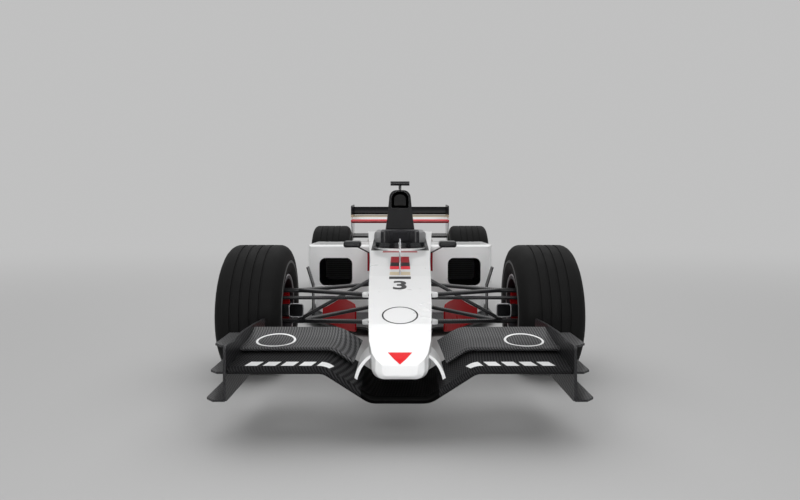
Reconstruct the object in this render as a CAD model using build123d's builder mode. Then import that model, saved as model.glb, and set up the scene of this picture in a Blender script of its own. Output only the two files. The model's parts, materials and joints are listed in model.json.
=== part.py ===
"""Open wheel racing car with a raised nose, wings at both ends and wheels outside the body.

The car faces +X, +Y is its left, and it stands on Z = 0. The origin is on the ground at the
middle of its length. Lengths are in millimetres.
"""

import os
from collections import namedtuple
from math import cos, radians, sin

from build123d import *

# Overall sizes
wheelbase = 3100
front_overhang = 1050
rear_overhang = 550
overall_width = 1800
ride_height = 40

# Places along the car follow from the axles
front_axle_x = (front_overhang + wheelbase + rear_overhang) / 2 - front_overhang
rear_axle_x = front_axle_x - wheelbase
tail_x = rear_axle_x - rear_overhang

# Clearances
seat_gap = 0.3
running_gap = 0.1
moving_gap = 8

# Wheels and tyres
tyre_radius = 330
front_tyre_width = 320
rear_tyre_width = 385
rim_radius = 160
rim_wall = 8
rim_flange = 18
rim_flange_width = 10
bead_inset = 24
hub_radius = 46
hub_length = 70
spoke_count = 7
spoke_width = 26
spoke_depth = 22
nut_radius = 34
nut_length = 24
disc_radius = 120
disc_width = 28
spindle_radius = 25

# Skid block and floor
plank_depth = 10
plank_half_width = 150
floor_depth = 12
floor_top = ride_height + plank_depth + floor_depth

# Survival cell, cockpit and engine bay
nose_joint = 280
engine_room = 1150
cell_back = engine_room - wheelbase
cockpit_back = cell_back + 50
cockpit_length = 840
cockpit_front = cockpit_back + cockpit_length
cockpit_floor = 120
cockpit_half_width = 205
engine_length = 620
engine_half_width = 225
engine_top = 470

# Air inlets
airbox_half_width = 74
airbox_low = 850
airbox_high = 992
airbox_depth = 160
airbox_round_top = 66
airbox_round_low = 44
airbox_taper = 8
inlet_inner = 362
inlet_outer = 610
inlet_low = 266
inlet_high = 474
inlet_depth = 420
inlet_round = 45
pod_front = cell_back + 600

# Front wing
wing_span = 1232
wing_chord = 270
wing_high = 278
wing_low = 172
spoon_half_width = 105
spoon_shoulder = 272
wing_blend = 70
plate_depth = 10
foot_reach = 78

# Steering
king_pin_y = overall_width / 2 - 240
king_pin_radius = 11
eye_radius = 23
upper_arm_z = 420
lower_arm_z = 258
steer_arm_reach = 85
steer_arm_z = 374
steer_arm_depth = 14
track_rod_radius = 9
track_rod_inner = 90
track_rod_pocket = 200
tie_eye_half = 12
track_rod_z = steer_arm_z + steer_arm_depth / 2 + seat_gap + tie_eye_half
steer_column_radius = 14
steer_column_z = 478

os.makedirs("parts", exist_ok=True)
SEATED = (Align.CENTER, Align.CENTER, Align.MIN)


def keep(piece, label):
    """Labels a finished piece and writes it."""
    piece.part.label = label
    export_step(piece.part, f"parts/{label}.step")


def keep_pair(piece, label):
    """Writes a piece of the left side and its mirror image for the right side."""
    export_step(piece.part, f"parts/{label}_left.step")
    export_step(piece.part.mirror(Plane.XZ), f"parts/{label}_right.step")


def from_front(ahead):
    """Station of a place that is measured forward of the front axle."""
    return front_axle_x + ahead


def from_rear(ahead):
    """Station of a place that is measured forward of the rear axle."""
    return rear_axle_x + ahead


def track_rod_hole(side):
    """Bottom of the pocket in the survival cell that a track rod slides in."""
    return (from_front(steer_arm_reach), side * track_rod_inner / 2, track_rod_z)


Section = namedtuple("Section", "x half_width low high round_low round_high")


def body_section(section):
    """Flat sided section with rounded corners, across the car."""
    half, low, high = section.half_width, section.low, section.high
    with BuildSketch(Plane.YZ.offset(section.x)) as outline:
        with BuildLine():
            Polyline((-half, low), (half, low), (half, high), (-half, high), close=True)
        make_face()
        rows = outline.vertices().group_by(Axis.Y)
        fillet(rows[0], section.round_low)
        fillet(rows[-1], section.round_high)
    return outline.sketch


def body_loft(sections):
    """Body drawn straight from each section to the next."""
    with BuildPart() as body:
        loft(sections=[body_section(section) for section in sections], ruled=True)
    return body.part


def bar(start, end, width, depth, x_dir):
    """Rounded blade between two points, such as a suspension leg. Its width runs along x_dir."""
    start, end = Vector(*start), Vector(*end)
    with BuildSketch(Plane(start, x_dir=x_dir, z_dir=end - start)) as blade:
        SlotOverall(width, depth)
    extrude(blade.sketch, amount=(end - start).length)


# Nose cone and survival cell, from the tip back to the engine
nose_sections = (
    Section(from_front(1030), 64, 258, 298, 19, 19),
    Section(from_front(1016), 88, 244, 316, 32, 34),
    Section(from_front(988), 103, 238, 331, 38, 44),
    Section(from_front(900), 117, 236, 356, 40, 50),
    Section(from_front(750), 127, 238, 389, 38, 48),
    Section(from_front(550), 138, 241, 422, 36, 42),
    Section(from_front(nose_joint), 151, 244, 462, 32, 34),
)
cell_sections = (
    Section(from_front(nose_joint) - seat_gap, 151, 244, 462, 32, 34),
    Section(from_front(0), 163, 236, 495, 34, 36),
    Section(from_front(0.28 * cockpit_front), 175, 208, 517, 40, 50),
    Section(from_front(0.57 * cockpit_front), 188, 158, 532, 42, 68),
    Section(from_front(cockpit_front), 216, 70, 552, 30, 75),
    Section(from_front(cockpit_front - 340), 236, 50, 590, 30, 80),
    Section(from_front(cell_back), 272, 40, 650, 30, 90),
)

tip_round = 8
with BuildPart() as nose_cone:
    add(body_loft(nose_sections))
    tip_edges = nose_cone.faces().sort_by(Axis.X)[-1].edges()
    fillet(tip_edges, tip_round)
keep(nose_cone, "nose_cone")

cell_outside = body_loft(cell_sections)

# Plan of the cockpit mouth: station behind the front axle and half width
cockpit_plan = (
    (cockpit_front, 0.62 * cockpit_half_width),
    (cockpit_front - 160, 0.92 * cockpit_half_width),
    (cockpit_front - 420, cockpit_half_width),
    (cockpit_back, cockpit_half_width),
)
footwell_front = -40
footwell_half_width = 112
footwell_low = 290
footwell_high = 430
footwell_round = 30
footwell_back = cockpit_front - 90
dash_low = 160
dash_high = 400
dash_half_width = 118
column_hole = 240
cell_top = cell_sections[-1].high

cockpit_round = 60
cockpit_left = [(from_front(x), y) for x, y in cockpit_plan]
with BuildSketch() as cockpit_mouth:
    with BuildLine():
        Polyline(*cockpit_left, *[(x, -y) for x, y in reversed(cockpit_left)], close=True)
    make_face()
    fillet(cockpit_mouth.vertices(), cockpit_round)

with BuildPart() as monocoque:
    add(cell_outside)
    with BuildSketch(Plane.XY.offset(cockpit_floor)):
        add(cockpit_mouth.sketch)
    extrude(amount=cell_top, mode=Mode.SUBTRACT)
    with BuildSketch(Plane.YZ.offset(from_front(footwell_back))):
        with Locations((0, (dash_low + dash_high) / 2)):
            RectangleRounded(2 * dash_half_width, dash_high - dash_low, footwell_round)
    with BuildSketch(Plane.YZ.offset(from_front(footwell_front))):
        with Locations((0, (footwell_low + footwell_high) / 2)):
            RectangleRounded(2 * footwell_half_width, footwell_high - footwell_low, footwell_round)
    loft(mode=Mode.SUBTRACT)
    with Locations(Plane((from_front(cockpit_front - cockpit_round), 0, steer_column_z), z_dir=(1, 0, 0))):
        Cylinder(steer_column_radius + running_gap, column_hole, mode=Mode.SUBTRACT)
    with BuildSketch(Plane.XY.offset(floor_top + seat_gap)):
        Rectangle(2 * wheelbase, overall_width)
    extrude(amount=-2 * floor_top, mode=Mode.SUBTRACT)
    for side in (1, -1):
        with Locations(Plane(track_rod_hole(side), z_dir=(0, side, 0))):
            Cylinder(track_rod_radius + moving_gap, track_rod_pocket, align=SEATED, mode=Mode.SUBTRACT)
keep(monocoque, "monocoque")


# Front wing: one aerofoil swept along a path that drops to the spoon under the nose
tail_half = 2
mid_rise = 0.3
upper_fullness = 0.7


def aerofoil(plane, chord, rise, depth):
    """Thin wing section with a round nose at the plane's origin and its tail behind and above."""
    nose = depth / 2
    middle = -chord / 2
    with BuildSketch(plane) as profile:
        with BuildLine():
            ThreePointArc((-nose, nose), (0, 0), (-nose, -nose))
            ThreePointArc((-nose, -nose), (middle, mid_rise * rise - nose), (-chord, rise - tail_half))
            Line((-chord, rise - tail_half), (-chord, rise + tail_half))
            upper = mid_rise * rise + upper_fullness * nose
            ThreePointArc((-chord, rise + tail_half), (middle, upper), (-nose, nose))
        make_face()
    return profile.sketch


def wing_path(x, corners):
    """Front view line of a wing element, rounded where it bends."""
    with BuildLine(Plane.YZ.offset(x)) as path:
        FilletPolyline(*corners, radius=wing_blend)
    return path.line


def along_path(x, start):
    """Plane square to the left end of a wing path, looking across the car."""
    return Plane((x, *start), x_dir=(1, 0, 0), z_dir=(0, -1, 0))


wing_nose_x = from_front(1035)
wing_depth = 28
wing_rise = 24
half_span = wing_span / 2
main_left = [(half_span, wing_high), (spoon_shoulder, wing_high), (spoon_half_width, wing_low)]
main_corners = main_left + [(-y, z) for y, z in reversed(main_left)]

with BuildPart() as front_wing_main:
    main_profile = aerofoil(along_path(wing_nose_x, main_corners[0]), wing_chord, wing_rise, wing_depth)
    sweep(sections=main_profile, path=wing_path(wing_nose_x, main_corners))
keep(front_wing_main, "front_wing_main")

flap_nose_x = wing_nose_x - 175
flap_chord = 220
flap_rise = 40
flap_depth = 16
flap_lift = 36
flap_root = 0.485
flap_end = half_span - seat_gap
flap_z = wing_high + flap_lift
flap_shoulder = spoon_shoulder - 12
flap_run = flap_root * (spoon_shoulder - spoon_half_width)
flap_drop = flap_root * (wing_high - wing_low)
flap_corners = [
    (flap_end, flap_z),
    (flap_shoulder, flap_z),
    (flap_shoulder - flap_run, flap_z - flap_drop),
]

with BuildPart() as front_wing_flaps:
    flap_profile = aerofoil(along_path(flap_nose_x, flap_corners[0]), flap_chord, flap_rise, flap_depth)
    sweep(sections=flap_profile, path=wing_path(flap_nose_x, flap_corners))
    mirror(about=Plane.XZ)
keep(front_wing_flaps, "front_wing_flaps")

# Outline of an endplate: station ahead of the front axle and height
foot_z = 172
endplate_outline = (
    (front_overhang, foot_z),
    (front_overhang, 372),
    (800, 372),
    (620, 366),
    (430, 352),
    (470, 230),
    (560, foot_z),
)
endplate_y = half_span + seat_gap
endplate_round = 14
shelf_depth = 8
shelf_corner = 30

# Shelves on the outside of an endplate: front and rear station, height and reach
shelves = (
    (1046, 640, foot_z, foot_reach - plate_depth),
    (1000, 790, 258, foot_reach - plate_depth),
    (1040, 830, 364, foot_reach / 2),
)

with BuildPart() as front_wing_endplates:
    with BuildSketch(Plane.XZ.offset(-endplate_y)) as outline:
        with BuildLine():
            Polyline(*[(from_front(x), z) for x, z in endplate_outline], close=True)
        make_face()
        fillet(outline.vertices(), endplate_round)
    extrude(amount=-plate_depth)
    for front, rear, height, reach in shelves:
        with BuildSketch(Plane.XY.offset(height)):
            with BuildLine():
                inner, outer = endplate_y + plate_depth / 2, endplate_y + plate_depth + reach
                Polyline(
                    (from_front(front), inner),
                    (from_front(front), outer - shelf_corner),
                    (from_front(front - shelf_corner), outer),
                    (from_front(rear), outer),
                    (from_front(rear), inner),
                    close=True,
                )
            make_face()
        extrude(amount=shelf_depth)
    mirror(about=Plane.XZ)
keep(front_wing_endplates, "front_wing_endplates")

# Pylons that hang the wing from the nose, bowed outwards
pylon_front = wing_nose_x - 80
pylon_length = 180
pylon_depth = 11
pylon_foot = (168, wing_low)
pylon_bow = (160, 258)
pylon_head = (100, 322)

with BuildPart() as pylon_band:
    with BuildSketch(Plane.YZ.offset(pylon_front - pylon_length)) as band:
        with BuildLine():
            ThreePointArc(pylon_foot, pylon_bow, pylon_head)
            Line(pylon_head, (pylon_head[0], pylon_head[1] - pylon_depth))
            ThreePointArc(
                (pylon_head[0], pylon_head[1] - pylon_depth),
                (pylon_bow[0] - pylon_depth, pylon_bow[1] - pylon_depth / 2),
                (pylon_foot[0] - pylon_depth, pylon_foot[1]),
            )
            Line((pylon_foot[0] - pylon_depth, pylon_foot[1]), pylon_foot)
        make_face()
    extrude(amount=pylon_length)
    add(front_wing_main.part.moved(Location((0, 0, seat_gap))), mode=Mode.SUBTRACT)
    add(nose_cone.part.moved(Location((0, seat_gap, 0))), mode=Mode.SUBTRACT)
with BuildPart() as front_wing_pylons:
    add(pylon_band.solids().sort_by(Axis.Z)[-1])
    mirror(about=Plane.XZ)
keep(front_wing_pylons, "front_wing_pylons")

# Wheels: a row for each axle of the left side
hub_inner = king_pin_y + 40
hub_outer = hub_inner + 130
# Tyre section from bead to tread: inset from its widest point and drop below the tread
tyre_rows = (
    (bead_inset + seat_gap, tyre_radius - rim_radius - seat_gap),
    (0, 78),
    (16, 20),
    (46, 0),
)
Axle = namedtuple("Axle", "label x tyre_width driven")
axles = (
    Axle("front", front_axle_x, front_tyre_width, False),
    Axle("rear", rear_axle_x, rear_tyre_width, True),
)


def across(x, y):
    """Plane on a wheel's axis that looks out to the left."""
    return Plane((x, y, tyre_radius), x_dir=(1, 0, 0), z_dir=(0, 1, 0))


for axle in axles:
    centre_y = (overall_width - axle.tyre_width) / 2
    half = axle.tyre_width / 2
    bead = half - bead_inset
    spin_axis = Axis((axle.x, 0, tyre_radius), (0, 1, 0))
    wheel_plane = Plane((axle.x, centre_y, tyre_radius), x_dir=(0, 1, 0), z_dir=(1, 0, 0))
    seat_radius = rim_radius + seat_gap
    with BuildPart() as tyre:
        with BuildSketch(wheel_plane) as section:
            with BuildLine():
                wall = [(half - inset, tyre_radius - drop) for inset, drop in tyre_rows]
                Polyline((0, seat_radius), *wall, (0, tyre_radius))
                mirror(about=Plane.YZ)
            make_face()
        revolve(axis=spin_axis)
    keep_pair(tyre, f"{axle.label}_tyre")
    with BuildPart() as rim:
        with BuildSketch(wheel_plane):
            with BuildLine():
                flange_radius = rim_radius + rim_flange
                edge = bead + rim_flange_width
                Polyline(
                    (-edge, rim_radius - rim_wall),
                    (-edge, flange_radius),
                    (-bead, rim_radius),
                    (bead, rim_radius),
                    (edge, flange_radius),
                    (edge, rim_radius - rim_wall),
                    close=True,
                )
            make_face()
        revolve(axis=spin_axis)
        with Locations(across(axle.x, hub_inner)):
            Cylinder(hub_radius, hub_outer - hub_inner, align=SEATED)
            Cylinder(disc_radius, disc_width, align=SEATED)
        with Locations(across(axle.x, hub_outer)):
            Cylinder(nut_radius, nut_length, align=SEATED)
        with Locations(across(axle.x, hub_outer - spoke_depth)):
            reach = rim_radius - rim_wall / 2
            with PolarLocations((reach + hub_radius / 2) / 2, spoke_count):
                Box(reach - hub_radius / 2, spoke_width, spoke_depth, align=SEATED)
        if not axle.driven:
            with Locations(across(axle.x, hub_inner)):
                Cylinder(spindle_radius + running_gap, hub_length, align=SEATED, mode=Mode.SUBTRACT)
    keep_pair(rim, f"{axle.label}_rim")

# Front knuckles with their king pins, spindles and steering arms
eye_half = 15
carrier_length = 70
carrier_width = 56
carrier_round = 12
carrier_low = lower_arm_z + eye_half + seat_gap
carrier_high = upper_arm_z - eye_half - seat_gap
tie_pin_radius = 6
tie_eye_radius = 20
tie_eye_bore = 12
caliper_lug = (75, 27, 56)
caliper_inner = king_pin_y + 12

with BuildPart() as front_upright:
    with Locations((front_axle_x, king_pin_y, carrier_low)):
        Box(carrier_length, carrier_width, carrier_high - carrier_low, align=SEATED)
    fillet(front_upright.edges().filter_by(Axis.Z), carrier_round)
    with Locations((front_axle_x, king_pin_y, lower_arm_z - eye_half)):
        Cylinder(king_pin_radius, upper_arm_z - lower_arm_z + 2 * eye_half, align=SEATED)
    with Locations(across(front_axle_x, king_pin_y)):
        Cylinder(spindle_radius, hub_inner + hub_length - moving_gap - king_pin_y, align=SEATED)
    with BuildSketch(Plane.XY.offset(steer_arm_z - steer_arm_depth / 2)):
        with Locations((from_front(steer_arm_reach / 2), king_pin_y)):
            SlotCenterToCenter(steer_arm_reach, 2 * tie_eye_radius)
    extrude(amount=steer_arm_depth)
    with Locations((from_front(steer_arm_reach), king_pin_y, steer_arm_z)):
        Cylinder(tie_pin_radius, track_rod_z + tie_eye_half - steer_arm_z, align=SEATED)
    with Locations((front_axle_x - carrier_length / 2, caliper_inner - seat_gap, tyre_radius)):
        Box(*caliper_lug, align=(Align.CENTER, Align.MAX, Align.CENTER))
keep_pair(front_upright, "front_upright")

# Brake caliper: an arc of channel section behind the axle that straddles the disc
caliper_arc = 70
caliper_start = radians(180 + caliper_arc / 2)
pad_gap = 6
caliper_outer = 142
caliper_throat = disc_radius + pad_gap
caliper_neck = 112
caliper_foot = 78
caliper_ends = (king_pin_y - 50, king_pin_y + 96)
disc_faces = (hub_inner - pad_gap, hub_inner + disc_width + pad_gap)
caliper_profile = (
    (caliper_ends[0], caliper_neck),
    (caliper_ends[0], caliper_outer),
    (caliper_ends[1], caliper_outer),
    (caliper_ends[1], caliper_foot),
    (disc_faces[1], caliper_foot),
    (disc_faces[1], caliper_throat),
    (disc_faces[0], caliper_throat),
    (disc_faces[0], caliper_foot),
    (caliper_inner, caliper_foot),
    (caliper_inner, caliper_neck),
)
with BuildPart() as brake_caliper:
    facing = (sin(caliper_start), 0, -cos(caliper_start))
    with BuildSketch(Plane((front_axle_x, 0, tyre_radius), x_dir=(0, 1, 0), z_dir=facing)):
        with BuildLine():
            Polyline(*caliper_profile, close=True)
        make_face()
    revolve(axis=Axis((front_axle_x, 0, tyre_radius), (0, 1, 0)), revolution_arc=caliper_arc)
keep_pair(brake_caliper, "brake_caliper")

# Brake duct: an open scoop ahead of the axle that narrows onto the knuckle
Duct = namedtuple("Duct", "ahead y z wide high")
duct_mouth = Duct(150, king_pin_y - 136, 340, 74, 68)
duct_seat = Duct(carrier_length / 2 + seat_gap, king_pin_y, 320, 44, 60)
duct_wall = 4
duct_round = 12


def duct_section(station, thinner):
    """Rounded section of the brake duct at its mouth or at its seat."""
    with BuildSketch(Plane.YZ.offset(from_front(station.ahead))) as outline:
        with Locations((station.y, station.z)):
            RectangleRounded(station.wide - 2 * thinner, station.high - 2 * thinner, duct_round)
    return outline.sketch


with BuildPart() as brake_duct:
    loft(sections=[duct_section(duct_seat, 0), duct_section(duct_mouth, 0)])
    passage = [duct_section(station, duct_wall) for station in (duct_seat, duct_mouth)]
    loft(sections=passage, mode=Mode.SUBTRACT)
keep_pair(brake_duct, "brake_duct")

with BuildPart() as track_rods:
    with Locations(Plane((from_front(steer_arm_reach), track_rod_inner, track_rod_z), z_dir=(0, 1, 0))):
        Cylinder(track_rod_radius, king_pin_y - track_rod_inner, align=SEATED)
    with Locations((from_front(steer_arm_reach), king_pin_y, track_rod_z)):
        Cylinder(tie_eye_radius, 2 * tie_eye_half)
        Cylinder(tie_eye_bore, 2 * tie_eye_half, mode=Mode.SUBTRACT)
    mirror(about=Plane.XZ)
keep(track_rods, "track_rods")

# Front wishbones: a stem from the king pin that forks into two legs
arm_width = 38
arm_depth = 19
stem_inner = king_pin_y - 130
stem_depth = 22
Arm = namedtuple("Arm", "label z inner_front_z inner_rear_z")
front_arms = (
    Arm("front_upper_wishbones", upper_arm_z, 424, 412),
    Arm("front_lower_wishbones", lower_arm_z, 292, 286),
)
leg_front = 200
leg_rear = -350
leg_inner = 110


def wishbone(hub_x, hub_y, arm, front, rear, stem_y, neighbour):
    """Left arm with its eye on the king pin, cut to seat on the body that carries it."""
    with BuildPart() as arm_part:
        with Locations((hub_x, hub_y, arm.z)):
            Cylinder(eye_radius, 2 * eye_half)
        bar((hub_x, hub_y, arm.z), (hub_x, stem_y - arm_width / 2, arm.z), arm_width, stem_depth, (1, 0, 0))
        for ahead, height in ((front, arm.inner_front_z), (rear, arm.inner_rear_z)):
            bar((hub_x, stem_y, arm.z), (hub_x + ahead, leg_inner, height), arm_width, arm_depth, (1, 0, 0))
        with Locations((hub_x, hub_y, arm.z)):
            Cylinder(king_pin_radius + running_gap, 4 * eye_half, mode=Mode.SUBTRACT)
        add(neighbour.moved(Location((0, seat_gap, 0))), mode=Mode.SUBTRACT)
        add(arm_part.part.mirror(Plane.XZ))
    return arm_part


for arm in front_arms:
    front_wishbones = wishbone(
        front_axle_x, king_pin_y, arm, leg_front, leg_rear, stem_inner, cell_outside
    )
    keep(front_wishbones, arm.label)


def pushrod(foot, head, below, neighbour):
    """Slim rod of the left side from a lower arm up to the body, with its mirror image."""
    with BuildPart() as rod:
        bar(foot, head, pushrod_width, pushrod_depth, (1, 0, 0))
        add(below.part.moved(Location((0, 0, seat_gap))), mode=Mode.SUBTRACT)
        add(neighbour.moved(Location((0, seat_gap, 0))), mode=Mode.SUBTRACT)
        longest = rod.solids().sort_by(SortBy.VOLUME)[-1]
    with BuildPart() as pair:
        add(longest)
        mirror(about=Plane.XZ)
    return pair


pushrod_width = 30
pushrod_depth = 18
pushrod_y = stem_inner + 18
pushrod_lean = 20
pushrod_top = 500
front_pushrods = pushrod(
    (from_front(0), pushrod_y, lower_arm_z),
    (from_front(-pushrod_lean), leg_inner, pushrod_top),
    front_wishbones,
    cell_outside,
)
keep(front_pushrods, "front_pushrods")

# Engine and gearbox, with the crash structure that tapers to the tail
engine_front = from_front(cell_back) - seat_gap
engine_back = engine_front - engine_length
engine_round = 60
with BuildPart() as engine:
    with Locations((engine_front, 0, floor_top + seat_gap)):
        Box(
            engine_length,
            2 * engine_half_width,
            engine_top - floor_top - seat_gap,
            align=(Align.MAX, Align.CENTER, Align.MIN),
        )
    fillet(engine.edges().filter_by(Axis.X).sort_by(Axis.Z)[-2:], engine_round)
keep(engine, "engine")

crash_end = tail_x + 90
gearbox_sections = (
    Section(engine_back - seat_gap, 150, floor_top + seat_gap, 440, 20, 60),
    Section(from_rear(200), 110, 120, 470, 20, 50),
    Section(from_rear(-90), 84, 245, 500, 20, 40),
    Section(crash_end, 58, 410, 532, 15, 25),
)
driveshaft_radius = 22
driveshaft_inner = 60
with BuildPart() as gearbox:
    loft(sections=[body_section(section) for section in gearbox_sections], ruled=True)
    with Locations(across(rear_axle_x, 0)):
        Cylinder(driveshaft_radius + running_gap, 4 * driveshaft_inner, mode=Mode.SUBTRACT)
    gearbox_outside = gearbox.part
keep(gearbox, "gearbox")

with BuildPart() as driveshaft:
    with Locations(across(rear_axle_x, driveshaft_inner)):
        Cylinder(driveshaft_radius, hub_inner - seat_gap - driveshaft_inner, align=SEATED)
keep_pair(driveshaft, "driveshaft")

# Rear suspension
rear_pin_y = king_pin_y - 15
rear_carrier_width = 80
rear_carrier_length = 98
rear_arms = (
    Arm("rear_upper_wishbones", upper_arm_z, 428, 440),
    Arm("rear_lower_wishbones", lower_arm_z, 280, 300),
)
rear_leg_front = 240
rear_leg_rear = -60
with BuildPart() as rear_uprights:
    with Locations((rear_axle_x, rear_pin_y, carrier_low)):
        Box(rear_carrier_length, rear_carrier_width, carrier_high - carrier_low, align=SEATED)
    fillet(rear_uprights.edges().filter_by(Axis.Z), carrier_round)
    with Locations((rear_axle_x, rear_pin_y, lower_arm_z - eye_half)):
        Cylinder(king_pin_radius, upper_arm_z - lower_arm_z + 2 * eye_half, align=SEATED)
    with Locations(across(rear_axle_x, rear_pin_y)):
        Cylinder(driveshaft_radius + running_gap, 2 * rear_carrier_width, mode=Mode.SUBTRACT)
    mirror(about=Plane.XZ)
keep(rear_uprights, "rear_uprights")

for arm in rear_arms:
    rear_wishbones = wishbone(
        rear_axle_x, rear_pin_y, arm, rear_leg_front, rear_leg_rear, stem_inner, gearbox_outside
    )
    keep(rear_wishbones, arm.label)

rear_pushrod_foot = (48, stem_inner - 84, lower_arm_z + 7)
rear_pushrod_head = (75, leg_inner / 2, pushrod_top)
rear_pushrods = pushrod(
    (from_rear(rear_pushrod_foot[0]), *rear_pushrod_foot[1:]),
    (from_rear(rear_pushrod_head[0]), *rear_pushrod_head[1:]),
    rear_wishbones,
    gearbox_outside,
)
keep(rear_pushrods, "rear_pushrods")

# Engine cover, with the air inlet over the driver's head
Cover = namedtuple("Cover", "x foot_half top_half low high round_top")
cover_low = engine_top + seat_gap
cover_sections = (
    Cover(engine_front, 140, airbox_half_width + 12, cover_low, airbox_high + 12, 64),
    Cover(engine_front - 150, 158, 78, cover_low, 994, 58),
    Cover(engine_front - 300, 166, 64, cover_low, 936, 50),
    Cover(engine_front - 480, 160, 52, cover_low, 822, 42),
    Cover(engine_front - 680, 132, 44, cover_low, 684, 34),
    Cover(engine_front - 860, 105, 40, cover_low, 590, 30),
)


def cover_section(section):
    """Section of the engine cover that narrows upwards to a rounded spine."""
    foot, top = section.foot_half, section.top_half
    with BuildSketch(Plane.YZ.offset(section.x)) as outline:
        with BuildLine():
            Polyline(
                (-foot, section.low),
                (foot, section.low),
                (top, section.high),
                (-top, section.high),
                close=True,
            )
        make_face()
        fillet(outline.vertices().group_by(Axis.Y)[-1], section.round_top)
    return outline.sketch


with BuildPart() as engine_cover:
    loft(sections=[cover_section(section) for section in cover_sections], ruled=True)
    with BuildSketch(Plane.YZ.offset(engine_front)) as airbox_mouth:
        with Locations((0, (airbox_low + airbox_high) / 2)):
            Rectangle(2 * airbox_half_width, airbox_high - airbox_low)
        mouth_rows = airbox_mouth.vertices().group_by(Axis.Y)
        fillet(mouth_rows[-1], airbox_round_top)
        fillet(mouth_rows[0], airbox_round_low)
    extrude(amount=-airbox_depth, taper=airbox_taper, mode=Mode.SUBTRACT)
    add(gearbox_outside.moved(Location((0, 0, seat_gap))), mode=Mode.SUBTRACT)
keep(engine_cover, "engine_cover")

# Sidepods: full width at their inlets and drawn in ahead of the rear wheels
Pod = namedtuple("Pod", "x inner outer high round_outer tuck")
pod_sections = (
    Pod(from_front(pod_front), 212, 676, 560, 66, 70),
    Pod(from_front(pod_front) - 24, 212, 696, 572, 80, 70),
    Pod(from_front(cell_back), 212, 700, 562, 92, 70),
    Pod(from_rear(950), 160, 664, 542, 102, 60),
    Pod(from_rear(750), 140, 584, 510, 108, 45),
    Pod(from_rear(540), 110, 450, 466, 100, 30),
    Pod(from_rear(320), 60, 300, 420, 80, 20),
)
pod_round_low = 30
pod_waist = 300
pod_waist_round = 90


def pod_section(section):
    """Section of the left sidepod, from inside the body out to its side."""
    with BuildSketch(Plane.YZ.offset(section.x)) as outline:
        with BuildLine():
            Polyline(
                (section.inner, floor_top + seat_gap),
                (section.outer - section.tuck, floor_top + seat_gap),
                (section.outer, pod_waist),
                (section.outer, section.high),
                (section.inner, section.high),
                close=True,
            )
        make_face()
        foot, waist, shoulder = outline.vertices().sort_by(Axis.X)[2:].sort_by(Axis.Y)
        fillet(foot, pod_round_low)
        fillet(waist, pod_waist_round)
        fillet(shoulder, section.round_outer)
    return outline.sketch


with BuildPart() as sidepod:
    loft(sections=[pod_section(section) for section in pod_sections], ruled=True)
    with BuildSketch(Plane.YZ.offset(from_front(pod_front))):
        with Locations(((inlet_inner + inlet_outer) / 2, (inlet_low + inlet_high) / 2)):
            RectangleRounded(inlet_outer - inlet_inner, inlet_high - inlet_low, inlet_round)
    extrude(amount=-inlet_depth, mode=Mode.SUBTRACT)
    add(cell_outside.moved(Location((0, seat_gap, 0))), mode=Mode.SUBTRACT)
    with Locations((engine_front + seat_gap, 0, 0)):
        Box(
            engine_length + 2 * seat_gap,
            2 * (engine_half_width + seat_gap),
            2 * (engine_top + seat_gap),
            align=(Align.MAX, Align.CENTER, Align.CENTER),
            mode=Mode.SUBTRACT,
        )
    add(engine_cover.part.moved(Location((0, seat_gap, 0))), mode=Mode.SUBTRACT)
    add(gearbox_outside.moved(Location((0, seat_gap, 0))), mode=Mode.SUBTRACT)
keep_pair(sidepod, "sidepod")

# Radiators across the ends of the sidepod ducts
radiator_depth = 40
with BuildPart() as radiators:
    with BuildSketch(Plane.YZ.offset(from_front(pod_front) - inlet_depth + seat_gap)):
        with Locations(((inlet_inner + inlet_outer) / 2, (inlet_low + inlet_high) / 2)):
            RectangleRounded(
                inlet_outer - inlet_inner - 2 * seat_gap,
                inlet_high - inlet_low - 2 * seat_gap,
                inlet_round - seat_gap,
            )
    extrude(amount=radiator_depth)
    mirror(about=Plane.XZ)
keep(radiators, "radiators")

# Floor: plan of its left half as station ahead of the front axle and half width
floor_plan = (
    (pod_front + 730, 140),
    (pod_front + 550, 230),
    (pod_front + 480, 475),
    (pod_front + 350, 578),
    (pod_front + 130, 700),
    (770 - wheelbase, 700),
    (540 - wheelbase, 488),
    (40 - wheelbase, 488),
)
floor_round = 30


def mirrored_plan(plan):
    """Closed outline from the points of its left half."""
    left = [(from_front(x), y) for x, y in plan]
    return left + [(x, -y) for x, y in reversed(left)]


with BuildPart() as floor:
    with BuildSketch(Plane.XY.offset(floor_top - floor_depth)) as floor_outline:
        with BuildLine():
            Polyline(*mirrored_plan(floor_plan), close=True)
        make_face()
        fillet(floor_outline.vertices(), floor_round)
    extrude(amount=floor_depth)
keep(floor, "floor")

plank_front = pod_front + 700
plank_back = 150 - wheelbase
plank_round = 60
with BuildPart() as plank:
    with BuildSketch(Plane.XY.offset(ride_height)):
        with Locations((from_front((plank_front + plank_back) / 2), 0)):
            RectangleRounded(plank_front - plank_back, 2 * plank_half_width, plank_round)
    extrude(amount=plank_depth - seat_gap)
keep(plank, "plank")

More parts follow.
